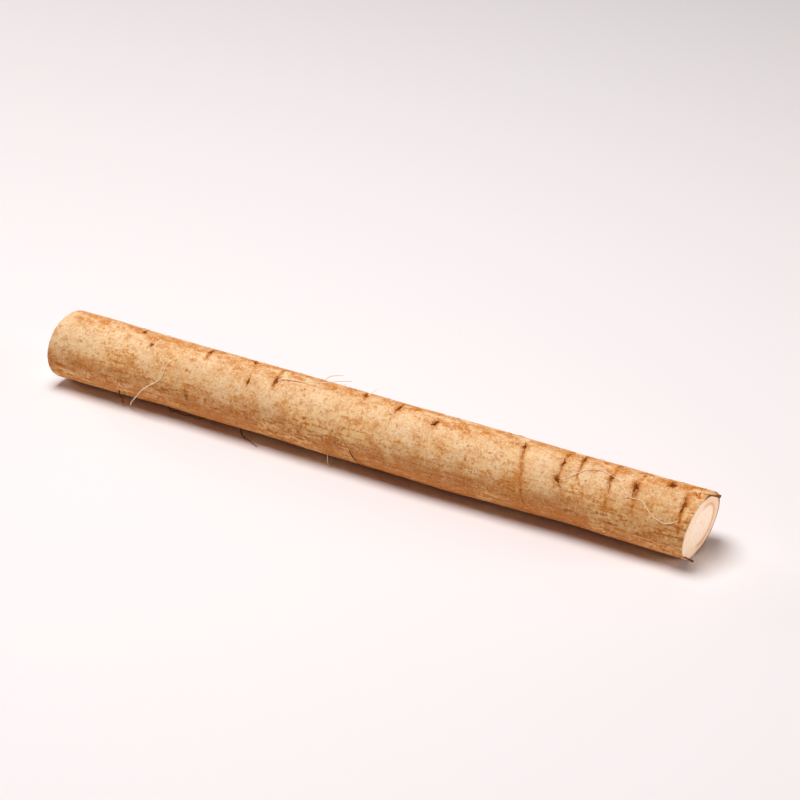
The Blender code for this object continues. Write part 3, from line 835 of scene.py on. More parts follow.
def frames_along(points):
    """A frame at each point, Z along the line, each turned as little as can be from the last."""
    frames = []
    side = None
    for index, point in enumerate(points):
        ahead = points[min(index + 1, len(points) - 1)]
        behind = points[max(index - 1, 0)]
        along = (ahead - behind).normalized()
        if side is None:
            side = along.orthogonal()
        side = (side - along * side.dot(along)).normalized()
        across = along.cross(side)
        frames.append(Matrix.Translation(point) @ Matrix((side, across, along)).transposed().to_4x4())
    return frames


def ring_edges(bm, ring):
    return [bm.edges.get((ring[i - 1], ring[i])) for i in range(len(ring))]


def add_tube(bm, circles, sides):
    """A closed tube through circles, each given by its matrix and radius; returns its rings."""
    rings = [bmesh.ops.create_circle(bm, cap_ends=False, segments=sides, radius=radius,
                                     matrix=matrix)["verts"]
             for matrix, radius in circles]
    for ring, following in zip(rings, rings[1:]):
        bmesh.ops.bridge_loops(bm, edges=ring_edges(bm, ring) + ring_edges(bm, following))
    bmesh.ops.contextual_create(bm, geom=ring_edges(bm, rings[0]))
    bmesh.ops.contextual_create(bm, geom=ring_edges(bm, rings[-1]))
    return rings


def add_thread(bm, layers, points, start_radius, tip_radius, sides, tone):
    """A closed tapering thread along a line of points, a little knobbly."""
    along_layer, tone_layer = layers
    last = len(points) - 1
    circles = []
    for index, matrix in enumerate(frames_along(points)):
        place = Vector((KNOBBLE_STEP * index, KNOBBLE_TONE_STEP * tone, 1.0))
        knobble = 1 + THREAD_KNOBBLE * noise.noise(place)
        radius = (start_radius + (tip_radius - start_radius) * index / last) * knobble
        circles.append((matrix, radius))
    for index, ring in enumerate(add_tube(bm, circles, sides)):
        for vert in ring:
            vert.co.z = max(vert.co.z, 0.0)
            vert[along_layer] = index / last
            vert[tone_layer] = tone


def thread_layers(bm):
    return bm.verts.layers.float.new("along"), bm.verts.layers.float.new("tone")


def make_threads(threads, sides, samples):
    """Threads along their routes, each of its own tone."""
    bm = bmesh.new()
    layers = thread_layers(bm)
    for index, thread in enumerate(threads):
        points = smooth_route(thread.route, samples)
        add_thread(bm, layers, points, thread.start_radius, thread.tip_radius, sides,
                   (THREAD_TONE_STEP * index) % 1.0)
    return bm


def degrees_per_mm(station):
    return math.degrees(MM / taper_radius(station))


def curled_route(station, clock, heading, curl, length, rise, turn_per_mm, form):
    """Route from a place, at a heading in radians from straight round the root, that curls as it goes."""
    route = []
    for far, height, share in form:
        turn = heading + curl * far
        route.append((station + length * far * math.sin(turn),
                      clock + length * far * math.cos(turn) * turn_per_mm, height + share * rise))
    return tuple(route)


def torn_strips(rng, scars):
    """Short tapering strips that fork from each scar, most of them down the side of the root."""
    strips = []
    for scar in scars:
        for number in range(rng.randint(*STRIPS_PER_SCAR)):
            leg = STRIP_LEGS[number % len(STRIP_LEGS)]
            heading = scar.lean + leg.heading + rng.gauss(0, leg.spread)
            if rng.random() < STRIP_UPWARD_SHARE:
                heading += 180
            length = rng.uniform(*STRIP_LENGTH) * scar.size * leg.share_of_length
            curl = rng.uniform(-STRIP_CURL, STRIP_CURL)
            aside = rng.uniform(-STRIP_ASIDE, STRIP_ASIDE) * scar.size
            route = curled_route(scar.station / MM + aside, scar.clock, math.radians(heading), curl, length,
                                 0.0, degrees_per_mm(scar.station), STRIP_FORM)
            strips.append(Thread(route, rng.uniform(*STRIP_RADIUS) * scar.size, STRIP_TIP_RADIUS))
    return strips


def scar_fibres(rng, scars):
    """Short dark fibres that fan out of each scar, mostly round the root."""
    fibres = []
    for scar in scars:
        for _ in range(rng.randint(*FIBRES_PER_SCAR)):
            heading = math.radians(rng.choice((0, 180)) + rng.gauss(0, FIBRE_SPREAD))
            length = rng.uniform(*FIBRE_LENGTH) * (0.5 + 0.5 * scar.size)
            rise = rng.uniform(*FIBRE_RISE)
            curl = rng.uniform(-FIBRE_CURL, FIBRE_CURL)
            route = curled_route(scar.station / MM, scar.clock, heading, curl, length, rise,
                                 degrees_per_mm(scar.station), FIBRE_FORM)
            fibres.append(Thread(route, rng.uniform(*FIBRE_RADIUS), FIBRE_TIP_RADIUS))
    return fibres


def row_hairs(rng, scars):
    """Fine curly hairs along the row of scars, closer together near the scars."""
    hairs = []
    near = [scar for scar in scars if abs(scar.clock) < ROW_SCAR_CLOCK_LIMIT]
    for _ in range(ROW_HAIR_COUNT):
        clock = math.degrees(ROW_CLOCK) + rng.gauss(0, ROW_HAIR_SPREAD)
        station = rng.uniform(ROW_HAIR_MARGIN, sizes().length / MM - ROW_HAIR_MARGIN)
        if rng.random() < NEAR_SCAR_SHARE:
            scar = rng.choice(near)
            station = scar.station / MM + rng.gauss(0, NEAR_SCAR_STATION_SPREAD)
            clock = scar.clock + NEAR_SCAR_CLOCK_OFFSET + rng.gauss(0, NEAR_SCAR_CLOCK_SPREAD)
        heading = rng.uniform(0, 2 * math.pi)
        length = rng.uniform(*ROW_HAIR_LENGTH)
        curl = rng.uniform(-ROW_HAIR_CURL, ROW_HAIR_CURL)
        rise = rng.uniform(*ROW_HAIR_RISE)
        route = curled_route(station, clock, heading, curl, length, rise,
                             ROW_HAIR_DEGREES_PER_MM, HAIR_FORM)
        hairs.append(Thread(route, rng.uniform(*ROW_HAIR_RADIUS), FIBRE_TIP_RADIUS))
    return hairs


def finish_fibres(name, threads, material):
    """Makes a piece of fine threads."""
    finish_piece(name, make_threads(threads, FIBRE_SIDES, FIBRE_SAMPLES), material)


def kept_share(threads):
    """The first of the threads, as many as the sizes say."""
    return threads[:round(len(threads) * sizes().fibre_amount)]


def make_stumps(scars):
    """Torn stumps: low ragged cups, longer round the root than along it."""
    bm = bmesh.new()
    along_layer, tone_layer = thread_layers(bm)
    for number, scar in enumerate(scars):
        stand = skin_frame(scar.station, math.radians(scar.clock)) @ Matrix.Rotation(
            math.radians(scar.lean), 4, "Z")
        oval = Matrix.Diagonal((1.0, STUMP_LENGTH_ALONG / STUMP_WIDTH, 1.0, 1.0))
        circles = []
        for height, share in STUMP_PROFILE:
            lift = STUMP_STANDS_OUT * scar.size * height
            circles.append((stand @ Matrix.Translation((0, 0, lift)) @ oval,
                            STUMP_WIDTH / 2 * scar.size * share))
        rings = add_tube(bm, circles, STUMP_SIDES)
        for ring, (height, _) in zip(rings, STUMP_PROFILE):
            loose = min(max(height - STUMP_LOOSE_ABOVE, 0.0), 1.0)
            for vert in ring:
                shift = noise.noise_vector(vert.co / STUMP_ROUGHNESS_SIZE + Vector((number, 0, 0)))
                vert.co += STUMP_ROUGHNESS * scar.size * loose * shift
                vert[along_layer] = loose
                vert[tone_layer] = STUMP_TONE * ((STUMP_TONE_STEP * number) % 1.0)
    return bm


def make_sliver(sliver):
    """A blade of rind that narrows to a ragged point past the cut."""
    clock = math.radians(sliver.base_clock)
    start = skin_point(sliver.base_station, clock)
    tip = skin_point(sliver.tip_station, math.radians(sliver.tip_clock))
    outward = Vector((0.0, -math.sin(clock), math.cos(clock)))
    along = (tip - start).normalized()
    outward = (outward - along * outward.dot(along)).normalized()
    across = outward.cross(along)
    place = Matrix.Translation(start) @ Matrix((along, across, outward)).transposed().to_4x4()
    length = (tip - start).length
    bm = bmesh.new()
    dry_and_shade_layer = bm.verts.layers.float.new("ring")
    bmesh.ops.create_cube(bm, size=1.0)
    bmesh.ops.subdivide_edges(bm, edges=bm.edges, cuts=RIND_CUTS, use_grid_fill=True)
    radius = taper_radius(sliver.base_station)
    for vert in bm.verts:
        far = vert.co.x + 0.5
        side = 2 * vert.co.y
        deep = 0.5 - vert.co.z
        across = 0.5 * sliver.width * side * (1 - RIND_NARROWING * far)
        fall = across * across / (2 * radius)
        thickness = sliver.thickness * (1 - RIND_THINNING * far) * (1 - RIND_EDGE_THINNING * side * side)
        height = RIND_ABOVE_SKIN - RIND_BASE_SUNK * (1 - far) ** 2 - fall - deep * thickness
        waves = Vector(RIND_RAGGED_WAVES) * Vector((far, side, deep))
        ragged = noise.noise_vector(waves) * RIND_RAGGEDNESS * (RIND_RAGGED_AT_BASE + far)
        torn = noise.noise(Vector((RIND_FIBRE_WAVES[0] * far, RIND_FIBRE_WAVES[1] * side, RIND_FIBRE_SEED)))
        vert.co = Vector((length * far, across, height)) + ragged
        vert.co.z += RIND_FIBRE_HEIGHT * torn * (1 - deep)
        # Dark at the sides and the tip where the rind is dry, and darker towards the underside as painted
        # shade.
        vert[dry_and_shade_layer] = max(smooth(*RIND_DRIED_SIDE, abs(side)), smooth(*RIND_DRIED_TIP, far),
                                smooth(*RIND_SHADE_UNDER, deep))
    bmesh.ops.transform(bm, matrix=place, verts=bm.verts)
    return bm


def join_bmeshes(parts):
    """Puts several bmeshes into one, through a passing mesh."""
    joined = bmesh.new()
    for part in parts:
        passing = bpy.data.meshes.new("passing")
        part.to_mesh(passing)
        part.free()
        joined.from_mesh(passing)
        bpy.data.meshes.remove(passing)
    return joined


def add_node(tree, kind, **settings):
    """A new node with the values of its sockets and of its own settings."""
    node = tree.nodes.new(kind)
    for name, value in settings.items():
        if name in node.inputs:
            node.inputs[name].default_value = value
        else:
            setattr(node, name, value)
    return node


def connect(tree, source, output, target, socket):
    tree.links.new(source.outputs[output], target.inputs[socket])


def new_group(name, inputs, outputs):
    """A node group with its sockets, and its input and output nodes."""
    group = bpy.data.node_groups.new(name, "ShaderNodeTree")
    for label, kind, default in inputs:
        socket = group.interface.new_socket(name=label, in_out="INPUT", socket_type=kind)
        if default is not None:
            socket.default_value = default
    for label, kind in outputs:
        group.interface.new_socket(name=label, in_out="OUTPUT", socket_type=kind)
    return group, group.nodes.new("NodeGroupInput"), group.nodes.new("NodeGroupOutput")


def give_sharp_noise(group, given, result, source, output, **settings):
    """Noise that a group gives out as its mask, sharpened between its low and its high value."""
    grain = add_node(group, "ShaderNodeTexNoise", **settings)
    connect(group, source, output, grain, "Vector")
    connect(group, given, "Scale", grain, "Scale")
    step = add_node(group, "ShaderNodeMapRange", interpolation_type="SMOOTHSTEP")
    connect(group, grain, "Fac", step, "Value")
    connect(group, given, "Low", step, "From Min")
    connect(group, given, "High", step, "From Max")
    connect(group, step, "Result", result, "Mask")
    return grain


def fibre_group():
    """Streaks that run along the root: noise drawn out lengthwise and sharpened to a mask."""
    group, given, result = new_group(
        "Root Fibres",
        [("Vector", "NodeSocketVector", None), ("Scale", "NodeSocketFloat", 900.0),
         ("Stretch", "NodeSocketFloat", 0.12), ("Low", "NodeSocketFloat", 0.52),
         ("High", "NodeSocketFloat", 0.68)],
        [("Mask", "NodeSocketFloat"), ("Height", "NodeSocketFloat")])
    squeeze = add_node(group, "ShaderNodeCombineXYZ", Y=1.0, Z=1.0)
    connect(group, given, "Stretch", squeeze, "X")
    drawn = add_node(group, "ShaderNodeVectorMath", operation="MULTIPLY")
    connect(group, given, "Vector", drawn, 0)
    connect(group, squeeze, 0, drawn, 1)
    grain = give_sharp_noise(group, given, result, drawn, 0, Detail=4.0, Roughness=0.6, Distortion=0.35)
    connect(group, grain, "Fac", result, "Height")
    return group


def blotch_group():
    """Soft patches with ragged edges."""
    group, given, result = new_group(
        "Ragged Patches",
        [("Vector", "NodeSocketVector", None), ("Scale", "NodeSocketFloat", 90.0),
         ("Low", "NodeSocketFloat", 0.45), ("High", "NodeSocketFloat", 0.6)],
        [("Mask", "NodeSocketFloat")])
    give_sharp_noise(group, given, result, given, "Vector", Detail=6.0, Roughness=0.62, Distortion=0.5)
    return group


def fleck_group():
    """Small separate flecks, only in some cells of a fine pattern."""
    group, given, result = new_group(
        "Skin Flecks",
        [("Vector", "NodeSocketVector", None), ("Scale", "NodeSocketFloat", 600.0),
         ("Share", "NodeSocketFloat", 0.3), ("Size", "NodeSocketFloat", 0.4)],
        [("Mask", "NodeSocketFloat")])
    cells = add_node(group, "ShaderNodeTexVoronoi", Randomness=1.0)
    connect(group, given, "Vector", cells, "Vector")
    connect(group, given, "Scale", cells, "Scale")
    dot = add_node(group, "ShaderNodeMapRange", interpolation_type="SMOOTHSTEP")
    dot.inputs["From Min"].default_value = 0.0
    dot.inputs["To Min"].default_value = 1.0
    dot.inputs["To Max"].default_value = 0.0
    connect(group, cells, "Distance", dot, "Value")
    connect(group, given, "Size", dot, "From Max")
    split = add_node(group, "ShaderNodeSeparateColor")
    connect(group, cells, "Color", split, 0)
    chosen = add_node(group, "ShaderNodeMath", operation="LESS_THAN")
    connect(group, split, 0, chosen, 0)
    connect(group, given, "Share", chosen, 1)
    both = add_node(group, "ShaderNodeMath", operation="MULTIPLY")
    connect(group, dot, "Result", both, 0)
    connect(group, chosen, 0, both, 1)
    connect(group, both, 0, result, "Mask")
    return group


class Recipe:
    """A material with its shader, its coordinates and short ways to add patterns and mix colours."""

    def __init__(self, name, roughness, specular=0.5):
        self.material = bpy.data.materials.new(name)
        self.material.use_nodes = True
        self.tree = self.material.node_tree
        self.shader = self.tree.nodes["Principled BSDF"]
        self.shader.inputs["Roughness"].default_value = roughness
        self.shader.inputs["Specular IOR Level"].default_value = specular
        self.coordinates = self.tree.nodes.new("ShaderNodeTexCoord")
        self.colour = None

    def pattern(self, group_name, output="Mask", **settings):
        """One of the shared node groups."""
        node = self.tree.nodes.new("ShaderNodeGroup")
        node.node_tree = bpy.data.node_groups[group_name]
        for name, value in settings.items():
            node.inputs[name].default_value = value
        connect(self.tree, self.coordinates, "Object", node, "Vector")
        return node.outputs[output]

    def noise(self, scale, detail=3.0, roughness=0.55):
        node = add_node(self.tree, "ShaderNodeTexNoise", Scale=scale, Detail=detail, Roughness=roughness)
        connect(self.tree, self.coordinates, "Object", node, "Vector")
        return node.outputs["Fac"]

    def attribute(self, name):
        return add_node(self.tree, "ShaderNodeAttribute", attribute_name=name).outputs["Fac"]

    def math(self, operation, first, second, clamp=False):
        node = add_node(self.tree, "ShaderNodeMath", operation=operation, use_clamp=clamp)
        for index, value in enumerate((first, second)):
            if isinstance(value, float):
                node.inputs[index].default_value = value
            else:
                self.tree.links.new(value, node.inputs[index])
        return node.outputs[0]

    def total(self, *weighted):
        """Sum of values, each times its weight."""
        summed = None
        for value, weight in weighted:
            part = self.math("MULTIPLY", value, weight)
            summed = part if summed is None else self.math("ADD", summed, part)
        return summed

    def times(self, *values):
        """Product of values, the first of them a socket."""
        product = values[0]
        for value in values[1:]:
            product = self.math("MULTIPLY", product, value)
        return product

    def remap(self, value, from_low, from_high, to_low=0.0, to_high=1.0):
        """A value moved softly from one range to another; the first range may run downwards."""
        node = add_node(self.tree, "ShaderNodeMapRange", interpolation_type="SMOOTHSTEP")
        for name, number in (("From Min", from_low), ("From Max", from_high),
                             ("To Min", to_low), ("To Max", to_high)):
            node.inputs[name].default_value = number
        self.tree.links.new(value, node.inputs["Value"])
        return node.outputs["Result"]

    def fade(self, mask, at_none, at_full):
        """A number that changes from one value to another as a mask goes from 0 to 1."""
        return self.remap(mask, 0.0, 1.0, at_none, at_full)

    def start(self, tint):
        """The colour that lies under all others."""
        node = add_node(self.tree, "ShaderNodeRGB")
        node.outputs[0].default_value = tint
        self.colour = node.outputs[0]

    def lay(self, tint, *factors):
        """Lays a colour over what is there, as much as the product of the factors says."""
        node = add_node(self.tree, "ShaderNodeMix", data_type="RGBA")
        self.tree.links.new(self.times(*factors), node.inputs[0])
        self.tree.links.new(self.colour, node.inputs[6])
        node.inputs[7].default_value = tint
        self.colour = node.outputs[2]

    def finish(self, roughness=None, height=None, bump_distance=0.0001, bump_strength=1.0):
        """Joins colour, roughness and bump to the shader, and gives the material."""
        self.tree.links.new(self.colour, self.shader.inputs["Base Color"])
        if roughness is not None:
            self.tree.links.new(roughness, self.shader.inputs["Roughness"])
        if height is not None:
            bump = add_node(self.tree, "ShaderNodeBump", Distance=bump_distance, Strength=bump_strength)
            self.tree.links.new(height, bump.inputs["Height"])
            connect(self.tree, bump, "Normal", self.shader, "Normal")
        return self.material


def skin_material():
    """Pale tan skin with broken orange-brown cork over it, closer low down and along the row of scars,
    where the brown is partly painted shade; its near-white points are partly painted glints.
    """
    tint = colours()
    skin = Recipe("burdock_skin", roughness=0.66, specular=0.22)
    split = add_node(skin.tree, "ShaderNodeSeparateXYZ")
    connect(skin.tree, skin.coordinates, "Object", split, 0)
    wavering = skin.total((split.outputs["Z"], 1.0), (skin.noise(36.0, 4.0, 0.6), 0.030),
                          (skin.noise(110.0, 5.0, 0.6), 0.020))
    low_down = skin.remap(wavering, *LOW_DOWN_HEIGHTS)
    # The row mask: a stain along the row of scars that is partly painted shade along the top.
    row = skin.attribute("row")

    skin.start(tint.skin_pale)
    skin.lay(tint.skin_tan, skin.pattern("Ragged Patches", Scale=62.0, Low=0.42, High=0.62), 0.50)
    skin.lay(tint.skin_deep, low_down, 0.85)
    uneven = skin.remap(skin.noise(210.0, 5.0, 0.65), 0.38, 0.62, 0.12, 1.25)
    # Brown along the row of scars: partly a stain of that row, partly painted shade along the top of the
    # root.
    skin.lay(tint.band, skin.math("MULTIPLY", row, uneven, clamp=True))
    patches = skin.total((skin.noise(34.0, 4.0, 0.55), 1.0), (skin.noise(125.0, 5.0, 0.65), 0.6))
    skin.lay(tint.skin_soil, skin.remap(patches, 0.72, 0.94), skin.fade(low_down, 0.05, 0.90))
    # The row adds to the cork here and to the cover below; along the top this is partly painted shade.
    cork = skin.total((skin.noise(330.0, 5.0, 0.62), 0.9), (skin.noise(130.0, 4.0, 0.6), 0.5),
                      (low_down, 0.10), (row, 0.12))
    skin.lay(tint.band, skin.remap(cork, 0.68, 0.92), 0.65)
    drawn = skin.pattern("Root Fibres", Scale=330.0, Stretch=0.10, Low=0.56, High=0.70)
    skin.lay(tint.skin_stain, drawn, low_down, 0.75)
    streaks = skin.pattern("Root Fibres", output="Height", Scale=820.0, Stretch=0.12)
    lined = skin.times(skin.math("SUBTRACT", streaks, NOISE_MIDDLE), skin.fade(low_down, 0.20, 1.20))
    grain = skin.noise(780.0, 5.0, 0.64)
    mottle = skin.times(skin.math("SUBTRACT", skin.noise(340.0, 4.0, 0.6), NOISE_MIDDLE), low_down)
    cover = skin.total((grain, 1.0), (lined, 1.0), (mottle, 0.5), (low_down, 0.10), (row, 0.04))
    skin.lay(tint.skin_stain, skin.remap(cover, 0.52, 0.70), skin.fade(low_down, 0.65, 1.0))
    skin.lay(tint.crease, skin.remap(cover, 0.66, 0.92), skin.fade(low_down, 0.08, 0.72))
    # Near-white points: partly dry skin, partly painted glints, stronger on top where the light falls.
    dry = skin.remap(skin.noise(1150.0, 4.0, 0.6), 0.52, 0.64)
    skin.lay(tint.skin_dry_and_glints, dry, skin.fade(low_down, 0.60, 0.25))
    pale_lines = skin.pattern("Root Fibres", Scale=1000.0, Stretch=0.20, Low=0.53, High=0.66)
    skin.lay(tint.skin_pale, pale_lines, low_down, 0.42)

    for kind in SKIN_FLECKS:
        flecks = skin.pattern("Skin Flecks", Scale=kind.scale, Share=kind.share, Size=kind.size)
        skin.lay(tint.fleck, flecks, kind.strength)
    spot = skin.attribute("spot")
    on_spot = skin.remap(spot, 0.02, 0.15)
    spotted = skin.total((spot, 0.65), (grain, 1.5), (skin.noise(420.0, 4.0, 0.65), 1.5))
    skin.lay(tint.skin_stain, skin.remap(spotted, 1.70, 2.15), on_spot)
    skin.lay(tint.crease, skin.remap(spotted, 2.05, 2.50), on_spot)
    ring = skin.attribute("crease")
    ragged = skin.remap(skin.noise(1300.0, 4.0, 0.65), 0.34, 0.60, 0.25, 1.0)
    skin.lay(tint.skin_stain, skin.remap(ring, 0.03, 0.48), ragged, 0.95)
    cracked = skin.total((ring, 1.0), (grain, 0.8))
    skin.lay(tint.crease, skin.remap(cracked, 0.78, 1.15), 0.75)
    scar = skin.attribute("scar")
    at_scar = skin.remap(scar, 0.01, 0.12)
    torn = skin.total((scar, 1.0), (skin.noise(1150.0, 5.0, 0.7), 1.5))
    skin.lay(tint.crease, skin.remap(torn, 1.02, 1.36), at_scar)
    skin.lay(tint.scar, skin.remap(torn, 1.42, 1.70), at_scar)
    cut_edge = skin.remap(skin.attribute("skin"), *CUT_EDGE_SHARES)
    skin.lay(tint.rind, cut_edge)
    # Dark line along the cut edges at the back: partly the skin's edge, partly painted shadow.
    skin.lay(tint.scar, cut_edge, skin.remap(split.outputs["Y"], *BACK_EDGE_RANGE), 0.9)

    height = skin.total((grain, 1.2), (skin.noise(560.0, 4.0, 0.6), 1.2), (streaks, 0.5))
    shine = skin.remap(skin.noise(300.0, 4.0), 0.35, 0.7, 0.55, 0.80)
    return skin.finish(roughness=shine, height=height, bump_distance=0.00045, bump_strength=0.5)


def flesh_material():
    """Cut flesh: cream in the middle, tan towards the rind, an orange ring and a dark rim at the back,
    partly the skin's edge and partly painted shadow.
    """
    tint = colours()
    flesh = Recipe("cut_flesh", roughness=0.5)
    flesh.start(tint.flesh)
    uneven = flesh.total((flesh.attribute("ring"), 1.0), (flesh.noise(260.0, 4.0), 0.10))
    rim = flesh.attribute("rim")
    flesh.lay(tint.rind, flesh.remap(uneven, 0.55, 0.80), flesh.fade(rim, 0.20, 0.62))
    flesh.lay(tint.band, flesh.remap(uneven, 0.62, 0.70), flesh.remap(uneven, 0.79, 0.71),
              flesh.fade(rim, 0.04, 0.66))
    flesh.lay(tint.rind, flesh.pattern("Ragged Patches", Scale=900.0, Low=0.48, High=0.64), 0.42)
    # Dark rim at the back of the face: partly the skin's edge, partly painted shadow.
    flesh.lay(tint.scar, flesh.remap(uneven, 0.940, 0.970), flesh.fade(rim, 0.03, 1.0))
    height = flesh.total((flesh.noise(1500.0, 4.0), 1.0), (flesh.noise(500.0, 3.0), 1.0))
    return flesh.finish(height=height, bump_distance=0.00012, bump_strength=0.5)


def rootlet_material():
    """Pale rootlets that darken to brown at their root and in places."""
    tint = colours()
    rootlet = Recipe("pale_rootlet", roughness=0.6, specular=0.20)
    rootlet.start(tint.rootlet)
    rootlet.lay(tint.crease, rootlet.remap(rootlet.attribute("along"), 0.10, 0.0))
    rootlet.lay(tint.skin_tan, rootlet.pattern("Ragged Patches", Scale=500.0, Low=0.54, High=0.70), 0.40)
    return rootlet.finish(height=rootlet.noise(2600.0), bump_distance=0.00006, bump_strength=0.3)


def dark_fibre_material():
    """Dried brown fibres and stumps, from dark brown to orange-brown."""
    tint = colours()
    fibre = Recipe("dark_fibre", roughness=0.7, specular=0.10)
    fibre.start(tint.scar)
    fibre.lay(tint.crease, fibre.total((fibre.attribute("tone"), 0.7), (fibre.attribute("along"), 0.45)))
    dry = fibre.pattern("Root Fibres", Scale=1500.0, Stretch=0.3, Low=0.46, High=0.62)
    fibre.lay(tint.skin_stain, dry, 0.5)
    return fibre.finish(height=fibre.noise(2200.0), bump_distance=0.00010, bump_strength=0.8)


def hair_material():
    """Fine hairs, some straw coloured and some brown."""
    tint = colours()
    hair = Recipe("row_hair", roughness=0.6)
    hair.start(tint.skin_tan)
    tone = hair.attribute("tone")
    hair.lay(tint.crease, hair.remap(tone, 0.35, 0.60))
    hair.lay(tint.rootlet, hair.remap(tone, 0.20, 0.05))
    return hair.finish(height=hair.noise(2600.0), bump_distance=0.00004, bump_strength=0.5)


def sliver_material():
    """A torn flap of rind: pinkish brown fibres with dark dry edges, and painted shade darkening its
    underside.
    """
    tint = colours()
    sliver = Recipe("rind_sliver", roughness=0.6, specular=0.20)
    sliver.start(tint.rind)
    pale = sliver.pattern("Root Fibres", Scale=1100.0, Stretch=0.15, Low=0.46, High=0.60)
    sliver.lay(tint.flesh, pale, 0.35)
    dark = sliver.pattern("Root Fibres", Scale=1700.0, Stretch=0.12, Low=0.50, High=0.62)
    sliver.lay(tint.crease, dark, 0.6)
    # Dark dry edges and tip, with painted shade towards the underside.
    dry_and_shade = sliver.total((sliver.attribute("ring"), 1.0), (sliver.noise(900.0, 4.0), 0.5))
    sliver.lay(tint.crease, sliver.remap(dry_and_shade, 0.35, 0.85), 0.9)
    sliver.lay(tint.scar, sliver.remap(dry_and_shade, 1.10, 1.45), 0.5)
    return sliver.finish(height=sliver.noise(1200.0), bump_distance=0.0002, bump_strength=0.8)


def floor_material():
    """A pale matt floor with the faintest clouding."""
    floor = Recipe("pale_floor", roughness=0.55)
    floor.start(bpy.context.scene.burdock_stage.floor)
    floor.lay(colours().rootlet, floor.noise(3.0), 0.05)
    return floor.finish()


class BURDOCK_OT_materials(bpy.types.Operator):
    """Make the node groups that the materials share"""
    bl_idname = "burdock.materials"
    bl_label = "Shared Patterns"

    def execute(self, context):
        fibre_group()
        blotch_group()
        fleck_group()
        return {"FINISHED"}


class BURDOCK_OT_body(bpy.types.Operator):
    """Make the root's body with its skin relief, scars and growth rings"""
    bl_idname = "burdock.body"
    bl_label = "Body"

    def execute(self, context):
        piece = finish_piece("root_body", make_body(), skin_material())
        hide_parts(ROOT_NODE)
        return {"FINISHED"}


class BURDOCK_OT_cut_faces(bpy.types.Operator):
    """Make the flesh at both cut ends"""
    bl_idname = "burdock.cut_faces"
    bl_label = "Cut Faces"

    def execute(self, context):
        material = flesh_material()
        for name, station, outward in (("cut_face_thick_end", 0.0, -1),
                                       ("cut_face_thin_end", sizes().length, 1)):
            finish_piece(name, make_cut_face(station, outward), material)
        return {"FINISHED"}


class BURDOCK_OT_scars(bpy.types.Operator):
    """Make the torn stumps, the strips and the fibres of the root scars, and the hairs of their row"""
    bl_idname = "burdock.scars"
    bl_label = "Scars"

    def execute(self, context):
        material = dark_fibre_material()
        scars, _ = all_growths()
        finish_piece("scar_stumps", make_stumps(scars), material)
        finish_fibres("scar_strips", torn_strips(random.Random(STRIP_SEED), scars), material)
        fibres = scar_fibres(random.Random(FIBRE_SEED), scars)
        finish_fibres("scar_fibres", kept_share(fibres), material)
        hairs = row_hairs(random.Random(ROW_HAIR_SEED), scars)
        finish_fibres("row_hairs", kept_share(hairs), hair_material())
        return {"FINISHED"}


class BURDOCK_OT_rootlets(bpy.types.Operator):
    """Make the pale and the dark rootlets"""
    bl_idname = "burdock.rootlets"
    bl_label = "Rootlets"

    def execute(self, context):
        _, hidden = all_growths()
        pale = make_threads(list(PALE_ROOTLETS) + hidden, THREAD_SIDES, THREAD_SAMPLES)
        finish_piece("pale_rootlets", pale, rootlet_material())
        dark = make_threads(DARK_ROOTLETS, THREAD_SIDES, THREAD_SAMPLES)
        finish_piece("dark_rootlets", dark, bpy.data.materials["dark_fibre"])
        return {"FINISHED"}


class BURDOCK_OT_slivers(bpy.types.Operator):
    """Make the slivers of rind at the thinner end's cut"""
    bl_idname = "burdock.slivers"
    bl_label = "Rind Slivers"

    def execute(self, context):
        joined = join_bmeshes([make_sliver(sliver) for sliver in RIND_SLIVERS])
        finish_piece("rind_slivers", joined, sliver_material())
        return {"FINISHED"}


class BURDOCK_OT_stage(bpy.types.Operator):
    """Make the plain floor, the soft lights and the camera"""
    bl_idname = "burdock.stage"
    bl_label = "Stage"

    def execute(self, context):
        scene = context.scene
        stage = scene.burdock_stage
        add_floor()
        for light in STAGE_LIGHTS:
            add_area_light(light, getattr(stage, light.kind) * light.share)
        world = bpy.data.worlds.new("soft_room")
        world.use_nodes = True
        background = world.node_tree.nodes["Background"]
        background.inputs["Color"].default_value = ROOM_TINT
        background.inputs["Strength"].default_value = stage.sky
        scene.world = world
        scene.view_settings.view_transform = "Standard"
        add_camera(stage)
        return {"FINISHED"}


def add_floor():
    bm = bmesh.new()
    bmesh.ops.create_grid(bm, x_segments=1, y_segments=1, size=FLOOR_SIZE / 2)
    mesh = bpy.data.meshes.new("floor")
    bm.to_mesh(mesh)
    bm.free()
    mesh.materials.append(floor_material())
    floor = bpy.data.objects.new("floor", mesh)
    bpy.context.scene.collection.objects.link(floor)


def add_area_light(light, power):
    """A round soft light that faces the middle of the root."""
    data = bpy.data.lights.new(light.name, "AREA")
    data.shape = "DISK"
    data.size = light.width
    data.energy = power
    data.color = light.tint
    lamp = bpy.data.objects.new(light.name, data)
    lamp.location = light.place
    lamp.visible_camera = False
    lamp.rotation_euler = (-Vector(light.place)).to_track_quat("-Z", "Y").to_euler()
    bpy.context.scene.collection.objects.link(lamp)


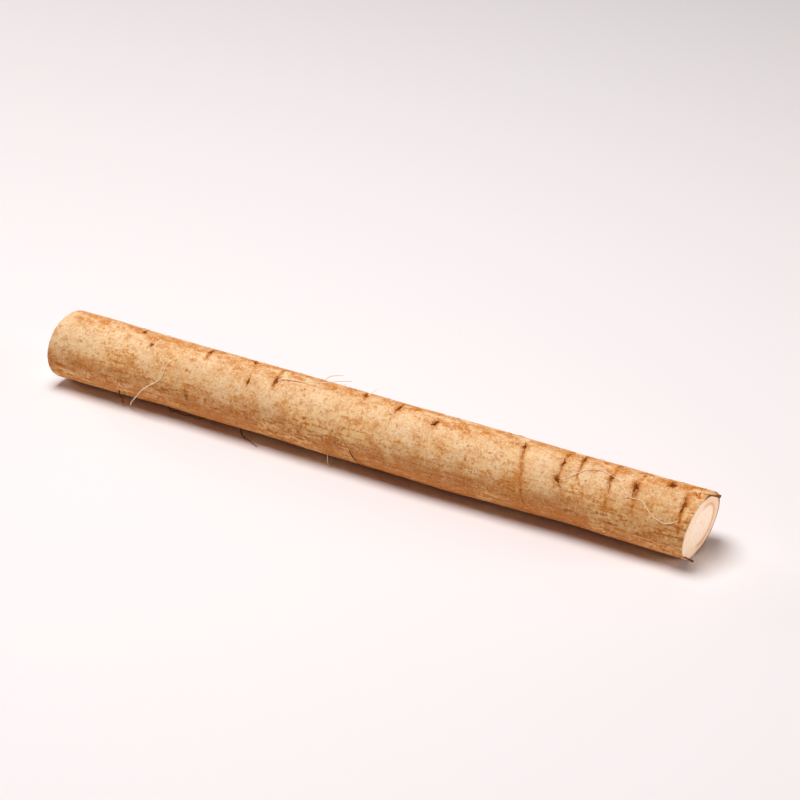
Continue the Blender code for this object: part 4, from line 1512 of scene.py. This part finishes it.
def add_camera(stage):
    """Camera at the viewing angle, found from its turn, its elevation and the point it looks at."""
    turn = stage.camera_azimuth
    rise = stage.camera_height
    back = Vector((math.sin(turn) * math.cos(rise), -math.cos(turn) * math.cos(rise), math.sin(rise)))
    data = bpy.data.cameras.new("camera")
    data.sensor_fit = "HORIZONTAL"
    data.sensor_width = SENSOR_WIDTH
    data.lens = stage.lens
    data.clip_start, data.clip_end = CAMERA_CLIP
    camera = bpy.data.objects.new("camera", data)
    camera.location = Vector(CAMERA_TARGET) + back * stage.camera_distance
    camera.rotation_euler = back.to_track_quat("Z", "Y").to_euler()
    bpy.context.scene.collection.objects.link(camera)
    bpy.context.scene.camera = camera


class BURDOCK_PT_panel(bpy.types.Panel):
    """Lists the pieces of the root with their sizes and colours"""
    bl_label = "Burdock Root"
    bl_idname = "BURDOCK_PT_panel"
    bl_space_type = "VIEW_3D"
    bl_region_type = "UI"
    bl_category = "Burdock"

    def draw(self, context):
        layout = self.layout
        scene = context.scene
        for title, group in (("Sizes", scene.burdock_sizes), ("Colours", scene.burdock_colours),
                             ("Stage", scene.burdock_stage)):
            box = layout.box()
            box.label(text=title)
            for name in group.__annotations__:
                box.prop(group, name)
        for operator in OPERATORS:
            layout.operator(operator.bl_idname)


OPERATORS = (BURDOCK_OT_materials, BURDOCK_OT_body, BURDOCK_OT_cut_faces, BURDOCK_OT_scars,
             BURDOCK_OT_rootlets, BURDOCK_OT_slivers, BURDOCK_OT_stage)
CLASSES = (BurdockSizes, BurdockColours, BurdockStage, *OPERATORS, BURDOCK_PT_panel)


def register():
    for cls in CLASSES:
        bpy.utils.register_class(cls)
    bpy.types.Scene.burdock_sizes = PointerProperty(type=BurdockSizes)
    bpy.types.Scene.burdock_colours = PointerProperty(type=BurdockColours)
    bpy.types.Scene.burdock_stage = PointerProperty(type=BurdockStage)


def unregister():
    del bpy.types.Scene.burdock_stage
    del bpy.types.Scene.burdock_colours
    del bpy.types.Scene.burdock_sizes
    for cls in reversed(CLASSES):
        bpy.utils.unregister_class(cls)


def main():
    register()
    bpy.ops.burdock.materials()
    bpy.ops.burdock.body()
    bpy.ops.burdock.cut_faces()
    bpy.ops.burdock.scars()
    bpy.ops.burdock.rootlets()
    bpy.ops.burdock.slivers()
    bpy.ops.burdock.stage()


if __name__ == "__main__":
    main()
